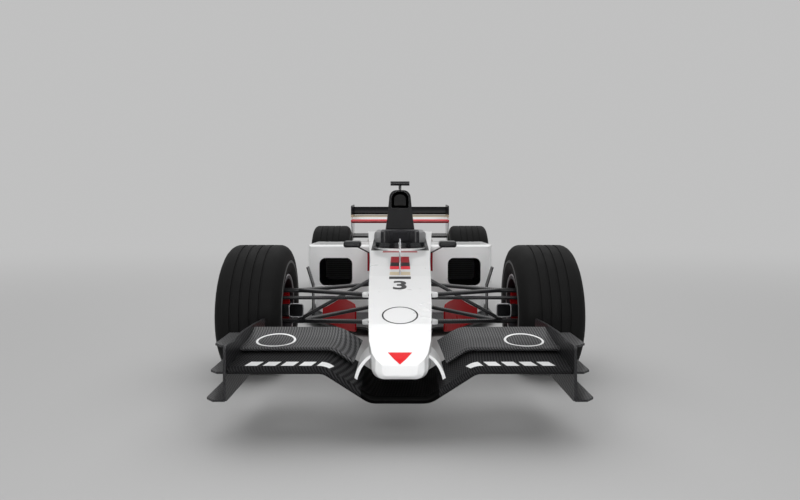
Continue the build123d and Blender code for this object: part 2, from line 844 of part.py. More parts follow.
# Diffuser: a ramp behind the floor with upright strakes below it
diffuser_front = from_front(floor_plan[-1][0]) - seat_gap
diffuser_back = from_rear(-360)
diffuser_rise = 170
diffuser_tyre_gap = 35
diffuser_half_width = overall_width / 2 - rear_tyre_width - diffuser_tyre_gap
strake_places = (-1, -0.5, 0, 0.5, 1)
strake_depth = 8
strake_high = 110
strake_start = 60
strake_lap = 6
ramp_sag = 0.38
with BuildPart() as diffuser:
    roof_start = (diffuser_front, floor_top - floor_depth)
    roof_end = (diffuser_back, floor_top + diffuser_rise)
    roof_middle = ((diffuser_front + diffuser_back) / 2, floor_top + ramp_sag * diffuser_rise)
    with BuildSketch(Plane.XZ.offset(-diffuser_half_width)):
        with BuildLine():
            ThreePointArc(roof_start, roof_middle, roof_end)
            Line(roof_end, (roof_end[0], roof_end[1] + floor_depth))
            ThreePointArc(*[(x, z + floor_depth) for x, z in (roof_end, roof_middle, roof_start)])
            Line((roof_start[0], floor_top), roof_start)
        make_face()
    extrude(amount=2 * diffuser_half_width)
    for place in strake_places:
        centre = place * (diffuser_half_width - strake_depth / 2)
        with BuildSketch(Plane.XZ.offset(-centre - strake_depth / 2)):
            with BuildLine():
                Polyline(
                    (diffuser_front - strake_start, floor_top + strake_lap),
                    (diffuser_back, roof_end[1] + strake_lap),
                    (diffuser_back, roof_end[1] - strake_high),
                    (diffuser_front - strake_start, floor_top - floor_depth),
                    close=True,
                )
            make_face()
        extrude(amount=strake_depth)
keep(diffuser, "diffuser")

# Bargeboards: upright curved blades on the front of the floor, with stations ahead of the sidepods
board_depth = 9
board_plan = ((930, 262), (610, 372), (360, 530))
board_high = 250
# What is cut from the blades, seen from the side: the rising front foot and the falling top edge
board_cuts = (
    ((950, 60), (950, 130), (900, 105), (650, 60)),
    ((950, 330), (950, 240), (880, 268), (590, 262), (350, 150), (350, 330)),
)
with BuildPart() as bargeboards:
    with BuildSketch(Plane.XY.offset(floor_top + seat_gap)):
        with BuildLine():
            inner_line = [(from_front(pod_front + x), y) for x, y in board_plan]
            outer_line = [(x, y + board_depth) for x, y in inner_line]
            ThreePointArc(*inner_line)
            Line(inner_line[-1], outer_line[-1])
            ThreePointArc(*reversed(outer_line))
            Line(outer_line[0], inner_line[0])
        make_face()
    extrude(amount=board_high)
    for outline in board_cuts:
        with BuildSketch(Plane.XZ):
            with BuildLine():
                Polyline(*[(from_front(pod_front + x), z) for x, z in outline], close=True)
            make_face()
        extrude(amount=overall_width, both=True, mode=Mode.SUBTRACT)
    mirror(about=Plane.XZ)
keep(bargeboards, "bargeboards")

# Vanes that stand on the floor beside the sidepod inlets
vane_depth = 8
vane_foot = 640
vane_head = 682
vane_top = 415
vane_bend = 280
vane_length = 90
vane_lead = 40
with BuildPart() as pod_vanes:
    with BuildSketch(Plane.YZ.offset(from_front(pod_front + vane_lead))):
        with BuildLine():
            Polyline(
                (vane_foot, floor_top + seat_gap),
                (vane_foot + vane_depth, floor_top + seat_gap),
                (vane_foot + vane_depth, vane_bend),
                (vane_head + vane_depth, vane_top),
                (vane_head, vane_top),
                (vane_foot, vane_bend),
                close=True,
            )
        make_face()
    extrude(amount=vane_length)
    mirror(about=Plane.XZ)
keep(pod_vanes, "pod_vanes")

# Rear wing: two elements and a beam wing between endplates
rear_wing_half = 520
rear_plate_depth = 10
rear_plate_round = 24
RearElement = namedtuple("RearElement", "label x z chord rise depth")
rear_elements = (
    RearElement("rear_wing_main", from_rear(-180), 700, 235, 62, 34),
    RearElement("rear_wing_flap", from_rear(-392), 782, 145, 76, 20),
    RearElement("rear_beam_wing", from_rear(-300), 528, 190, 30, 22),
)
for element in rear_elements:
    with BuildPart() as blade:
        blade_half = rear_wing_half - seat_gap
        start = along_path(element.x, (blade_half, element.z))
        extrude(aerofoil(start, element.chord, element.rise, element.depth), amount=2 * blade_half)
        add(gearbox_outside.moved(Location((0, 0, seat_gap))), mode=Mode.SUBTRACT)
    keep(blade, element.label)

# Outline of a rear endplate: station ahead of the rear axle and height
rear_plate_outline = (
    (-170, 700),
    (-170, 870),
    (-rear_overhang, 885),
    (-rear_overhang, 560),
    (-500, 490),
    (-330, 490),
)
with BuildPart() as rear_wing_endplates:
    with BuildSketch(Plane.XZ.offset(-rear_wing_half)) as outline:
        with BuildLine():
            Polyline(*[(from_rear(x), z) for x, z in rear_plate_outline], close=True)
        make_face()
        fillet(outline.vertices(), rear_plate_round)
    extrude(amount=-rear_plate_depth)
    mirror(about=Plane.XZ)
keep(rear_wing_endplates, "rear_wing_endplates")

light_size = (30, 84, 76)
light_round = 12
light_z = 471
with BuildPart() as rain_light:
    with Locations((crash_end - seat_gap, 0, light_z)):
        Box(*light_size, align=(Align.MAX, Align.CENTER, Align.CENTER))
    fillet(rain_light.edges().filter_by(Axis.X), light_round)
keep(rain_light, "rain_light")

# Exhaust pipes that rise through the sidepods ahead of the rear wheels
pipe_radius = 42
pipe_wall = 4
pipe_start = (from_rear(760), 300, 380)
pipe_lean = (-1, -0.12, 0.55)
pipe_length = 300
with BuildPart() as pipe:
    with Locations(Plane(pipe_start, z_dir=pipe_lean)):
        Cylinder(pipe_radius, pipe_length, align=SEATED)
        Cylinder(pipe_radius - pipe_wall, pipe_length, align=SEATED, mode=Mode.SUBTRACT)
    add(sidepod.part.moved(Location((0, 0, seat_gap))), mode=Mode.SUBTRACT)
with BuildPart() as exhausts:
    add(pipe.solids().sort_by(SortBy.VOLUME)[-1])
    mirror(about=Plane.XZ)
keep(exhausts, "exhausts")

# Cockpit fittings
windscreen_depth = 5
windscreen_plan = ((-130, 192), (14, 0), (-130, -192))
windscreen_low = 480
windscreen_high = 606
with BuildPart() as windscreen:
    with BuildSketch(Plane.XY.offset(windscreen_low)):
        with BuildLine():
            back_line = [(from_front(cockpit_front + x), y) for x, y in windscreen_plan]
            front_line = [(x + windscreen_depth, y) for x, y in back_line]
            ThreePointArc(*back_line)
            ThreePointArc(*front_line)
            Line(back_line[0], front_line[0])
            Line(back_line[-1], front_line[-1])
        make_face()
    extrude(amount=windscreen_high - windscreen_low)
    add(cell_outside.moved(Location((0, 0, seat_gap))), mode=Mode.SUBTRACT)
keep(windscreen, "windscreen")

headrest_low = 560
headrest_high = 668
headrest_front = cockpit_back + 360
head_room = 128
head_length = 260
head_round = 90
with BuildPart() as headrest:
    with BuildSketch(Plane.XY.offset(headrest_low)):
        add(cockpit_mouth.sketch)
        offset(amount=-seat_gap)
        with Locations((from_front(headrest_front), 0)):
            ahead = (Align.MIN, Align.CENTER)
            Rectangle(wheelbase, overall_width, align=ahead, mode=Mode.SUBTRACT)
            RectangleRounded(2 * head_length, 2 * head_room, head_round, mode=Mode.SUBTRACT)
    extrude(amount=headrest_high - headrest_low)
keep(headrest, "headrest")

seat_half_width = 165
seat_line = ((650, 200), (480, 150), (260, 150), (60, 520))
seat_shell = 24
seat_bend = 60
seat_foot = (180, 26)
seat_foot_x = cockpit_back + 340
with BuildPart() as seat:
    with BuildSketch(Plane.XZ.offset(-seat_half_width)):
        with BuildLine():
            FilletPolyline(*[(from_front(cockpit_back + x), z) for x, z in seat_line], radius=seat_bend)
        trace(line_width=seat_shell)
    extrude(amount=2 * seat_half_width)
    with Locations((from_front(seat_foot_x), 0, cockpit_floor + seat_gap)):
        Box(seat_foot[0], 2 * seat_half_width, seat_foot[1], align=SEATED)
keep(seat, "seat")

grip_width = 270
grip_high = 168
grip_depth = 34
grip_round = 60
grip_x = from_front(cockpit_front - 190)
hand_hole = (32, 84)
hand_hole_y = 97
hand_hole_round = 15
column_lap = 50
with BuildPart() as steering_wheel:
    with BuildSketch(Plane.YZ.offset(grip_x)):
        with Locations((0, steer_column_z)):
            RectangleRounded(grip_width, grip_high, grip_round)
            with Locations((hand_hole_y, 0), (-hand_hole_y, 0)):
                RectangleRounded(*hand_hole, hand_hole_round, mode=Mode.SUBTRACT)
    extrude(amount=grip_depth)
    with Locations(Plane((grip_x, 0, steer_column_z), z_dir=(1, 0, 0))):
        Cylinder(steer_column_radius, from_front(cockpit_front + column_lap) - grip_x, align=SEATED)
keep(steering_wheel, "steering_wheel")

# Mirrors on stalks beside the cockpit
mirror_size = (90, 126, 46)
mirror_place = (from_front(cockpit_front - 110), 346, 590)
mirror_round = 18
mirror_nose = 16
stalk_width = 28
stalk_depth = 9
stalk_foot = (150, 490)
with BuildPart() as mirrors:
    with Locations(mirror_place):
        Box(*mirror_size)
    fillet(mirrors.edges().filter_by(Axis.X), mirror_round)
    fillet(mirrors.faces().sort_by(Axis.X)[-1].edges(), mirror_nose)
    bar(mirror_place, (mirror_place[0], *stalk_foot), stalk_width, stalk_depth, (1, 0, 0))
    add(cell_outside.moved(Location((0, seat_gap, 0))), mode=Mode.SUBTRACT)
    mirror(about=Plane.XZ)
keep(mirrors, "mirrors")

camera_size = (110, 164, 36)
camera_x = engine_front - 90
camera_high = 1082
camera_round = 15
camera_stalk = (80, 24, 73)
with BuildPart() as camera_pod:
    with Locations((camera_x, 0, camera_high)):
        Box(*camera_size, align=(Align.CENTER, Align.CENTER, Align.MAX))
    fillet(camera_pod.edges().filter_by(Axis.Y), camera_round)
    with Locations((camera_x, 0, camera_high - camera_size[2] / 2)):
        Box(*camera_stalk, align=(Align.CENTER, Align.CENTER, Align.MAX))
    add(engine_cover.part.moved(Location((0, 0, seat_gap))), mode=Mode.SUBTRACT)
keep(camera_pod, "camera_pod")

mast_x = from_front(-50)
mast_low = 450
mast_high = 690
mast_size = (26, 9)
probe_z = 632
probe_radius = 4
probe_length = 60
with BuildPart() as antenna:
    with BuildSketch(Plane.XY.offset(mast_low)):
        with Locations((mast_x, 0)):
            SlotOverall(*mast_size)
    extrude(amount=mast_high - mast_low)
    with Locations(Plane((mast_x, 0, probe_z), z_dir=(1, 0, 0))):
        Cylinder(probe_radius, probe_length, align=SEATED)
    add(cell_outside.moved(Location((0, 0, seat_gap))), mode=Mode.SUBTRACT)
keep(antenna, "antenna")
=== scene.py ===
# %% [markdown]
# # Dressing an open wheel racing car
# The solids of the car come in as a frame that doesn't move. This lesson paints them, swaps the plain
# tyres and wheels for detailed ones, and adds the small pieces that make the car look built and used.

# %% Load the solids
import json
from math import cos, pi, radians, sin

import bpy
from mathutils import Matrix, Vector


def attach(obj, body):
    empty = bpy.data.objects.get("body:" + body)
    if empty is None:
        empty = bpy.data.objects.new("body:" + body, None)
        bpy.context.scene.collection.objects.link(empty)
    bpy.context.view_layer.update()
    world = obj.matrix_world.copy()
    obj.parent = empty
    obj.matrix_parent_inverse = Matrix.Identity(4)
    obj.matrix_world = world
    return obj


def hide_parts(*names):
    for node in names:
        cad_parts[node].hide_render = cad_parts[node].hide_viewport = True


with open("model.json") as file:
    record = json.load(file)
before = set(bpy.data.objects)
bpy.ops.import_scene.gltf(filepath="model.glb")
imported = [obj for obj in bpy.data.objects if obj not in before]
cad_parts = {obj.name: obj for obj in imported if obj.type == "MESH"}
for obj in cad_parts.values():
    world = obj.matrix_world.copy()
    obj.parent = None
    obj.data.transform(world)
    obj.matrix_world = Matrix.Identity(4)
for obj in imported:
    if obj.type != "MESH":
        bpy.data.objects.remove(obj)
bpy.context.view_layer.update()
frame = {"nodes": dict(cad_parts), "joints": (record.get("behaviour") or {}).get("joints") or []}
nodes = frame["nodes"]

# %% [markdown]
# ## Camera
# The photograph was taken low and close, straight at the nose. The tyre size gives the distance, and the
# horizon gives the height. The camera looks level, and the lens is shifted down a little, so upright
# edges stay upright. A wide lens that stands close makes the front wing look large against the rear
# wheels, so the distance matters more than the framing.

# %% Camera on the centre line
# Pixels of the photograph: its width, the focal length, and the rows of the horizon and the middle
picture_width, focal_pixels, horizon, middle_row = 800, 594.0, 206.3, 250.0
camera_ahead, camera_height = 4.45, 0.865
scene = bpy.context.scene
camera_data = bpy.data.cameras.new("front_camera")
camera_data.sensor_width = 36.0
camera_data.lens = focal_pixels * camera_data.sensor_width / picture_width
camera_data.shift_y = (horizon - middle_row) / picture_width
camera = bpy.data.objects.new("front_camera", camera_data)
scene.collection.objects.link(camera)
camera.location = (camera_ahead, 0.0, camera_height)
camera.rotation_euler = (pi / 2, 0.0, pi / 2)
scene.camera = camera
print("lens", round(camera_data.lens, 1), "shift", round(camera_data.shift_y, 3))

# %% [markdown]
# ## Tools for finishes
# Every finish is a small tree of nodes. It reads Object coordinates, so a pattern stays where it is on
# the car, and it changes the roughness and the bump as well as the colour, because light shows a
# surface more than its colour does. Each helper adds a node or two, so that a finish reads as a recipe.

# %% Start a finish and find the place on the car
lacquer_roughness = 0.06


def new_finish(name, colour, roughness, metallic=0.0, coat=0.0, specular=0.5):
    """Makes a material with one shader and returns the material, its tree and the shader."""
    finish = bpy.data.materials.new(name)
    finish.use_nodes = True
    tree = finish.node_tree
    bsdf = tree.nodes["Principled BSDF"]
    bsdf.inputs["Base Color"].default_value = (*colour, 1.0)
    bsdf.inputs["Roughness"].default_value = roughness
    bsdf.inputs["Metallic"].default_value = metallic
    bsdf.inputs["Coat Weight"].default_value = coat
    bsdf.inputs["Coat Roughness"].default_value = lacquer_roughness
    bsdf.inputs["Specular IOR Level"].default_value = specular
    return finish, tree, bsdf


def car_place(tree):
    """The place on the car, as one socket."""
    return tree.nodes.new("ShaderNodeTexCoord").outputs["Object"]


def car_axes(tree):
    """The place on the car, split into its X, Y and Z sockets."""
    split = tree.nodes.new("ShaderNodeSeparateXYZ")
    tree.links.new(car_place(tree), split.inputs["Vector"])
    return split.outputs


def drawn_out(tree, stretch):
    """The place on the car, scaled so that a pattern on it is drawn out along one direction."""
    drawn = tree.nodes.new("ShaderNodeMapping")
    drawn.inputs["Scale"].default_value = stretch
    tree.links.new(car_place(tree), drawn.inputs["Vector"])
    return drawn.outputs["Vector"]


print("finishes start with one shader")


# %% Sums, noise, colours and relief
def sum_up(tree, kind, first, second=None):
    """Adds one Math node. A number sets its socket, and a socket is linked to it."""
    step = tree.nodes.new("ShaderNodeMath")
    step.operation = kind
    for socket, value in zip(step.inputs, (first, second)):
        if value is None:
            continue
        if isinstance(value, (int, float)):
            socket.default_value = value
        else:
            tree.links.new(value, socket)
    return step.outputs["Value"]


def between(tree, value, low, high):
    """1 where the value lies between two numbers, else 0."""
    above = sum_up(tree, "GREATER_THAN", value, low)
    below = sum_up(tree, "LESS_THAN", value, high)
    return sum_up(tree, "MULTIPLY", above, below)


def spread(tree, value, low, high, start=0.0, end=1.0, kind="LINEAR"):
    """Maps a value between start and end to the range from low to high."""
    step = tree.nodes.new("ShaderNodeMapRange")
    step.interpolation_type = kind
    ends = (("From Min", start), ("From Max", end), ("To Min", low), ("To Max", high))
    for name, number in ends:
        step.inputs[name].default_value = number
    tree.links.new(value, step.inputs["Value"])
    return step.outputs["Result"]


def noise(tree, scale, detail=4.0, where=None):
    """Adds cloudy noise of that scale, on the place on the car or on another, and returns its value."""
    cloud = tree.nodes.new("ShaderNodeTexNoise")
    cloud.inputs["Scale"].default_value = scale
    cloud.inputs["Detail"].default_value = detail
    tree.links.new(car_place(tree) if where is None else where, cloud.inputs["Vector"])
    return cloud.outputs["Fac"]


def tint(tree, factor, first, second):
    """Mixes two colours, either of which may be a socket."""
    mix = tree.nodes.new("ShaderNodeMix")
    mix.data_type = "RGBA"
    tree.links.new(factor, mix.inputs["Factor"])
    for socket, colour in ((mix.inputs["A"], first), (mix.inputs["B"], second)):
        if isinstance(colour, tuple):
            socket.default_value = (*colour, 1.0)
        else:
            tree.links.new(colour, socket)
    return mix.outputs["Result"]


def relief(tree, bsdf, height, depth):
    """Turns a height between 0 and 1 into bump of that depth in metres."""
    bump = tree.nodes.new("ShaderNodeBump")
    bump.inputs["Distance"].default_value = depth
    bump.inputs["Strength"].default_value = 1.0
    tree.links.new(height, bump.inputs["Height"])
    tree.links.new(bump.outputs["Normal"], bsdf.inputs["Normal"])


print("node helpers ready")

# %% [markdown]
# ## Studio
# The car stands on a pale grey floor that runs into a wall of the same grey, so no edge shows behind it.
# Most of the light comes from a huge soft panel overhead, which leaves the dark pool under the car and the
# wing. A weak even sky fills the shadows. Two soft lamps light the front from above, and a low one lights
# the nose and hardly reaches the floor.

# %% Floor
scene.view_settings.view_transform = "Standard"
wall_grey, fill_grey = (0.53, 0.53, 0.53), (0.12, 0.12, 0.12)
floor_size = 40.0
# Grey of the floor far behind the car and ahead of it, and the X places where it has them. This is painted
# light and shade: the floor is lighter far behind, where less light reaches it, and darker ahead, where the
# lamps light it
floor_greys, floor_ends = (0.8, 0.46), (-20.0, 5.0)
# Distances from the car where the floor starts to take the grey of the wall, and where it has it
wall_near, wall_far = 2.8, 11.0


def background_rays(tree):
    """1 for rays that show the background: from the camera, off gloss and through glass."""
    rays = tree.nodes.new("ShaderNodeLightPath").outputs
    seen = sum_up(tree, "MAXIMUM", rays["Is Camera Ray"], rays["Is Glossy Ray"])
    return sum_up(tree, "MAXIMUM", seen, rays["Is Transmission Ray"])


bpy.ops.object.select_all(action="DESELECT")
bpy.ops.mesh.primitive_plane_add(size=floor_size, location=(0.0, 0.0, 0.0))
floor = bpy.context.object
floor.name = "studio_floor"
floor_paint, tree, shader = new_finish("studio_floor_paint", wall_grey, 0.9, specular=0.0)
floor.data.materials.append(floor_paint)
tree.links.new(spread(tree, car_axes(tree)["X"], *floor_greys, *floor_ends), shader.inputs["Base Color"])

distance = tree.nodes.new("ShaderNodeVectorMath")
distance.operation = "LENGTH"
tree.links.new(car_place(tree), distance.inputs[0])
far = spread(tree, distance.outputs["Value"], 0.0, 1.0, wall_near, wall_far, "SMOOTHSTEP")
wall = tree.nodes.new("ShaderNodeEmission")
wall.inputs["Color"].default_value = (*wall_grey, 1.0)
run_in = tree.nodes.new("ShaderNodeMixShader")
tree.links.new(sum_up(tree, "MULTIPLY", far, background_rays(tree)), run_in.inputs["Fac"])
tree.links.new(shader.outputs["BSDF"], run_in.inputs[1])
tree.links.new(wall.outputs["Emission"], run_in.inputs[2])
tree.links.new(run_in.outputs["Shader"], tree.nodes["Material Output"].inputs["Surface"])
print("floor:", floor_size, "m across")

# %% Sky
world = bpy.data.worlds.new("studio_sky")
scene.world = world
world.use_nodes = True
tree = world.node_tree
tree.nodes.clear()
choose = tree.nodes.new("ShaderNodeMixShader")
tree.links.new(background_rays(tree), choose.inputs["Fac"])
for socket, colour in zip(choose.inputs[1:], (fill_grey, wall_grey)):
    light = tree.nodes.new("ShaderNodeBackground")
    light.inputs["Color"].default_value = (*colour, 1.0)
    tree.links.new(light.outputs["Background"], socket)
sky_out = tree.nodes.new("ShaderNodeOutputWorld")
tree.links.new(choose.outputs["Shader"], sky_out.inputs["Surface"])
print("sky:", world.name)

# %% Lamps
# Name, place, place that it points at, size, watts and spread in degrees
lamps = (
    ("overhead_panel", (-8.0, 0.0, 20.0), (-8.0, 0.0, 0.0), 44.0, 7300.0, 180.0),
    ("front_left_lamp", (6.0, 2.0, 3.2), (1.6, 0.0, 0.4), 1.5, 40.0, 180.0),
    ("front_right_lamp", (6.0, -2.0, 3.2), (1.6, 0.0, 0.4), 1.5, 40.0, 180.0),
    ("nose_lamp", (6.0, 0.0, 0.7), (1.6, 0.0, 0.5), 1.0, 7.5, 60.0),
)
for name, place, aim, size, power, opening in lamps:
    data = bpy.data.lights.new(name, "AREA")
    data.shape = "SQUARE"
    data.size = size
    data.energy = power
    data.spread = radians(opening)
    lamp = bpy.data.objects.new(name, data)
    scene.collection.objects.link(lamp)
    lamp.location = place
    lamp.rotation_euler = (Vector(aim) - Vector(place)).to_track_quat("-Z", "Y").to_euler()
print("lamps:", len(lamps))

# %% [markdown]
# ## Woven carbon
# The wings, arms and airbox are bare carbon cloth under lacquer. In a two by two twill each tow goes over
# two and under two, and each row steps one along, which draws fine slanted lines. Counting tows across the
# car and steps along it, and taking their sum in fours, gives that. The steps are longer than the tows are
# wide, so the lines run nearly front to back, as they do on the wing in the photograph.

# %% Carbon cloth
tow, tow_step, tow_relief = 0.0027, 0.02, 0.0003
# On faces that stand up, the counts go on with these shares of the height
across_rise, along_rise = 0.6, 0.9
black = (0.008, 0.008, 0.009)


def carbon_finish(name, dark, pale, roughness, gloss=0.25):
    """Twill of dark and pale tows under a coat of lacquer."""
    finish, tree, bsdf = new_finish(name, dark, roughness, coat=0.6 * gloss, specular=gloss)
    x, y, z = car_axes(tree)
    across = sum_up(tree, "ADD", y, sum_up(tree, "MULTIPLY", z, across_rise))
    along = sum_up(tree, "ADD", x, sum_up(tree, "MULTIPLY", z, along_rise))
    tows = sum_up(tree, "DIVIDE", across, tow)
    steps = sum_up(tree, "DIVIDE", along, tow_step)
    count = sum_up(tree, "ADD", sum_up(tree, "FLOOR", tows), sum_up(tree, "FLOOR", steps))
    over = sum_up(tree, "LESS_THAN", sum_up(tree, "FLOORED_MODULO", count, 4.0), 1.5)
    cloud = spread(tree, noise(tree, scale=9.0), 0.55, 1.0)
    shade = sum_up(tree, "MULTIPLY", over, cloud)
    tree.links.new(tint(tree, shade, dark, pale), bsdf.inputs["Base Color"])
    tree.links.new(spread(tree, over, roughness, roughness - 0.12), bsdf.inputs["Roughness"])
    round_tow = sum_up(tree, "PINGPONG", tows, 0.5)
    round_step = sum_up(tree, "PINGPONG", steps, 0.5)
    relief(tree, bsdf, sum_up(tree, "ADD", round_tow, round_step), tow_relief)
    return finish


carbon_black = carbon_finish("carbon_black", black, (0.022, 0.022, 0.024), 0.42)
carbon_grey = carbon_finish("carbon_grey", black, (0.085, 0.085, 0.088), 0.45, 0.12)
disc_carbon = carbon_finish("disc_carbon", (0.012, 0.012, 0.012), (0.03, 0.029, 0.028), 0.6)
print("carbon:", carbon_black.name, carbon_grey.name, disc_carbon.name)

# %% [markdown]
# ## Paint
# Painted carbon is smooth and glossy, but sprayed lacquer has a faint orange peel, and road dust dulls
# it in places. A fine noise makes the peel, and a broad one varies the gloss and the dust.

# %% Sprayed paint
white, dusty_white = (0.86, 0.865, 0.87), (0.78, 0.78, 0.77)
peel_depth = 0.00005


def paint_finish(name, colour, dusty, gloss=0.5):
    """Glossy paint with a faint peel, broad changes of gloss and a little dust."""
    finish, tree, bsdf = new_finish(name, colour, 0.3, coat=gloss, specular=gloss)
    cloud = noise(tree, scale=5.0)
    dust = spread(tree, cloud, 0.0, 0.35)
    tree.links.new(tint(tree, dust, colour, dusty), bsdf.inputs["Base Color"])
    tree.links.new(spread(tree, cloud, 0.22, 0.38), bsdf.inputs["Roughness"])
    relief(tree, bsdf, noise(tree, scale=700.0, detail=1.0), peel_depth)
    return finish


paint_white = paint_finish("paint_white", white, dusty_white)
paint_red = paint_finish("paint_red", (0.32, 0.005, 0.008), (0.27, 0.008, 0.01), 0.02)
paint_bright_red = paint_finish("paint_bright_red", (0.75, 0.012, 0.018), (0.68, 0.02, 0.024), 0.12)
paint_black = paint_finish("paint_black", (0.01, 0.01, 0.011), (0.02, 0.02, 0.02), 0.08)
paint_cream = paint_finish("paint_cream", (0.68, 0.55, 0.36), (0.6, 0.5, 0.36))
print("paints ready")

# %% [markdown]
# ## Rubber, metal and the rest
# Racing rubber is matt and a little grey where it has scrubbed. Machined metal shows the marks of its
# tool, which run round or along it. The skid block is pressed wood, the radiators are rows of fine fins,
# and the pads and belts are woven cloth.


# %% Rubber and metals
def rubber_finish(name, colour, scrubbed):
    """Matt rubber, greyer where broad noise says that it has scrubbed, with a fine grain."""
    finish, tree, bsdf = new_finish(name, colour, 0.75, specular=0.15)
    cloud = noise(tree, scale=14.0, detail=6.0)
    tree.links.new(tint(tree, cloud, colour, scrubbed), bsdf.inputs["Base Color"])
    tree.links.new(spread(tree, cloud, 0.62, 0.85), bsdf.inputs["Roughness"])
    relief(tree, bsdf, noise(tree, scale=420.0, detail=2.0), 0.0004)
    return finish


def metal_finish(name, colour, roughness, stretch):
    """Metal with fine marks drawn out along one direction."""
    finish, tree, bsdf = new_finish(name, colour, roughness, metallic=1.0)
    marks = noise(tree, scale=60.0, detail=5.0, where=drawn_out(tree, stretch))
    darker = tuple(0.72 * part for part in colour)
    gloss = spread(tree, marks, roughness - 0.1, roughness + 0.14)
    tree.links.new(tint(tree, marks, darker, colour), bsdf.inputs["Base Color"])
    tree.links.new(gloss, bsdf.inputs["Roughness"])
    relief(tree, bsdf, marks, 0.0001)
    return finish


tyre_rubber = rubber_finish("tyre_rubber", (0.0028, 0.0028, 0.0028), (0.0055, 0.0055, 0.0055))
rim_metal = metal_finish("rim_metal", (0.055, 0.055, 0.06), 0.42, (1.0, 9.0, 1.0))
bright_metal = metal_finish("bright_metal", (0.55, 0.55, 0.57), 0.34, (8.0, 1.0, 8.0))
cast_metal = metal_finish("cast_metal", (0.3, 0.3, 0.31), 0.5, (1.0, 1.0, 1.0))
hot_steel = metal_finish("hot_steel", (0.3, 0.24, 0.2), 0.4, (1.0, 1.0, 6.0))
print("rubber and metals ready")


# %% Wood, cloth and fins
def wood_finish(name, dark, pale):
    """Pressed wood in thin layers, scraped along the car."""
    finish, tree, bsdf = new_finish(name, dark, 0.7)
    fibre = noise(tree, scale=9.0, detail=6.0, where=drawn_out(tree, (0.6, 14.0, 14.0)))
    tree.links.new(tint(tree, fibre, dark, pale), bsdf.inputs["Base Color"])
    tree.links.new(spread(tree, fibre, 0.55, 0.85), bsdf.inputs["Roughness"])
    relief(tree, bsdf, fibre, 0.0004)
    return finish


def cloth_finish(name, colour, pale, thread):
    """Plain weave of threads over and under each other."""
    finish, tree, bsdf = new_finish(name, colour, 0.9, specular=0.2)
    bsdf.inputs["Sheen Weight"].default_value = 0.25
    x, y, z = car_axes(tree)
    first = sum_up(tree, "DIVIDE", sum_up(tree, "ADD", x, z), thread)
    second = sum_up(tree, "DIVIDE", sum_up(tree, "ADD", y, z), thread)
    count = sum_up(tree, "ADD", sum_up(tree, "FLOOR", first), sum_up(tree, "FLOOR", second))
    over = spread(tree, sum_up(tree, "FLOORED_MODULO", count, 2.0), 0.35, 0.8)
    cloud = spread(tree, noise(tree, scale=30.0), 0.6, 1.2)
    shade = sum_up(tree, "MULTIPLY", over, cloud)
    tree.links.new(tint(tree, shade, colour, pale), bsdf.inputs["Base Color"])
    round_first = sum_up(tree, "PINGPONG", first, 0.5)
    round_second = sum_up(tree, "PINGPONG", second, 0.5)
    relief(tree, bsdf, sum_up(tree, "MULTIPLY", round_first, round_second), 0.0006)
    return finish


def fin_finish(name, dark, pale):
    """Pale upright fins and level tubes, with painted shade in a dark colour in the gaps between them."""
    fin_pitch, tube_pitch, tube_height = 0.004, 0.016, 0.004
    finish, tree, bsdf = new_finish(name, pale, 0.5, metallic=0.6)
    x, y, z = car_axes(tree)
    fins = sum_up(tree, "PINGPONG", sum_up(tree, "DIVIDE", y, fin_pitch), 0.5)
    tubes = between(tree, sum_up(tree, "FLOORED_MODULO", z, tube_pitch), 0.0, tube_height)
    shown = sum_up(tree, "MAXIMUM", fins, tubes)
    tree.links.new(tint(tree, shown, dark, pale), bsdf.inputs["Base Color"])
    relief(tree, bsdf, shown, 0.002)
    return finish


pad_dark, pad_pale, pad_thread = (0.016, 0.016, 0.018), (0.045, 0.045, 0.05), 0.0022
skid_wood = wood_finish("skid_wood", (0.11, 0.075, 0.05), (0.26, 0.19, 0.12))
pad_cloth = cloth_finish("pad_cloth", pad_dark, pad_pale, pad_thread)
belt_cloth = cloth_finish("belt_cloth", (0.14, 0.012, 0.014), (0.3, 0.03, 0.03), 0.0018)
radiator_fins = fin_finish("radiator_fins", (0.002, 0.002, 0.002), (0.02, 0.02, 0.02))
print("wood, cloth and fins ready")

# %% Clear sheet, lamp cover and mirror
# The windscreen is white up to a height, then black for a band, and clear above it
screen_line, screen_band, smoke = 0.566, 0.016, (0.05, 0.055, 0.06)
screen_clear, tree, bsdf = new_finish("screen_clear", smoke, 0.08)
height = car_axes(tree)["Z"]
clear = sum_up(tree, "GREATER_THAN", height, screen_line + screen_band)
painted = tint(tree, sum_up(tree, "GREATER_THAN", height, screen_line), white, black)
tree.links.new(tint(tree, clear, painted, smoke), bsdf.inputs["Base Color"])
tree.links.new(spread(tree, clear, 0.0, 0.7), bsdf.inputs["Transmission Weight"])
tree.links.new(spread(tree, noise(tree, scale=40.0), 0.04, 0.16), bsdf.inputs["Roughness"])

# The cover of the lamp is moulded in square cells that stand up in the middle
lens_cell, lens_height, lens_depth = 0.006, 0.72, 0.001
lamp_red, tree, bsdf = new_finish("lamp_red", (0.34, 0.006, 0.008), 0.2, coat=0.8)
x, y, z = car_axes(tree)
across, up = (sum_up(tree, "PINGPONG", place, lens_cell) for place in (y, z))
cells = sum_up(tree, "MULTIPLY", across, up)
relief(tree, bsdf, sum_up(tree, "MULTIPLY", cells, lens_height / lens_cell**2), lens_depth)

mirror_glass, tree, bsdf = new_finish("mirror_glass", (0.75, 0.77, 0.78), 0.04, metallic=1.0)
tree.links.new(spread(tree, noise(tree, scale=25.0), 0.02, 0.08), bsdf.inputs["Roughness"])
print("materials:", len(bpy.data.materials))

# %% [markdown]
# ## Paint the solids
# A solid whose shape is right stays and only gets a finish. Where one solid has several colours, such as a
# white sidepod with painted shade in its duct or the bands of the rear wing, the finish tells them apart by
# the place on the car. That keeps their edges sharp at any size, with no picture to stretch over the surface.

# %% Several colours on one solid
# A finish with less gloss than this is dull enough all over
matt_gloss = 0.3


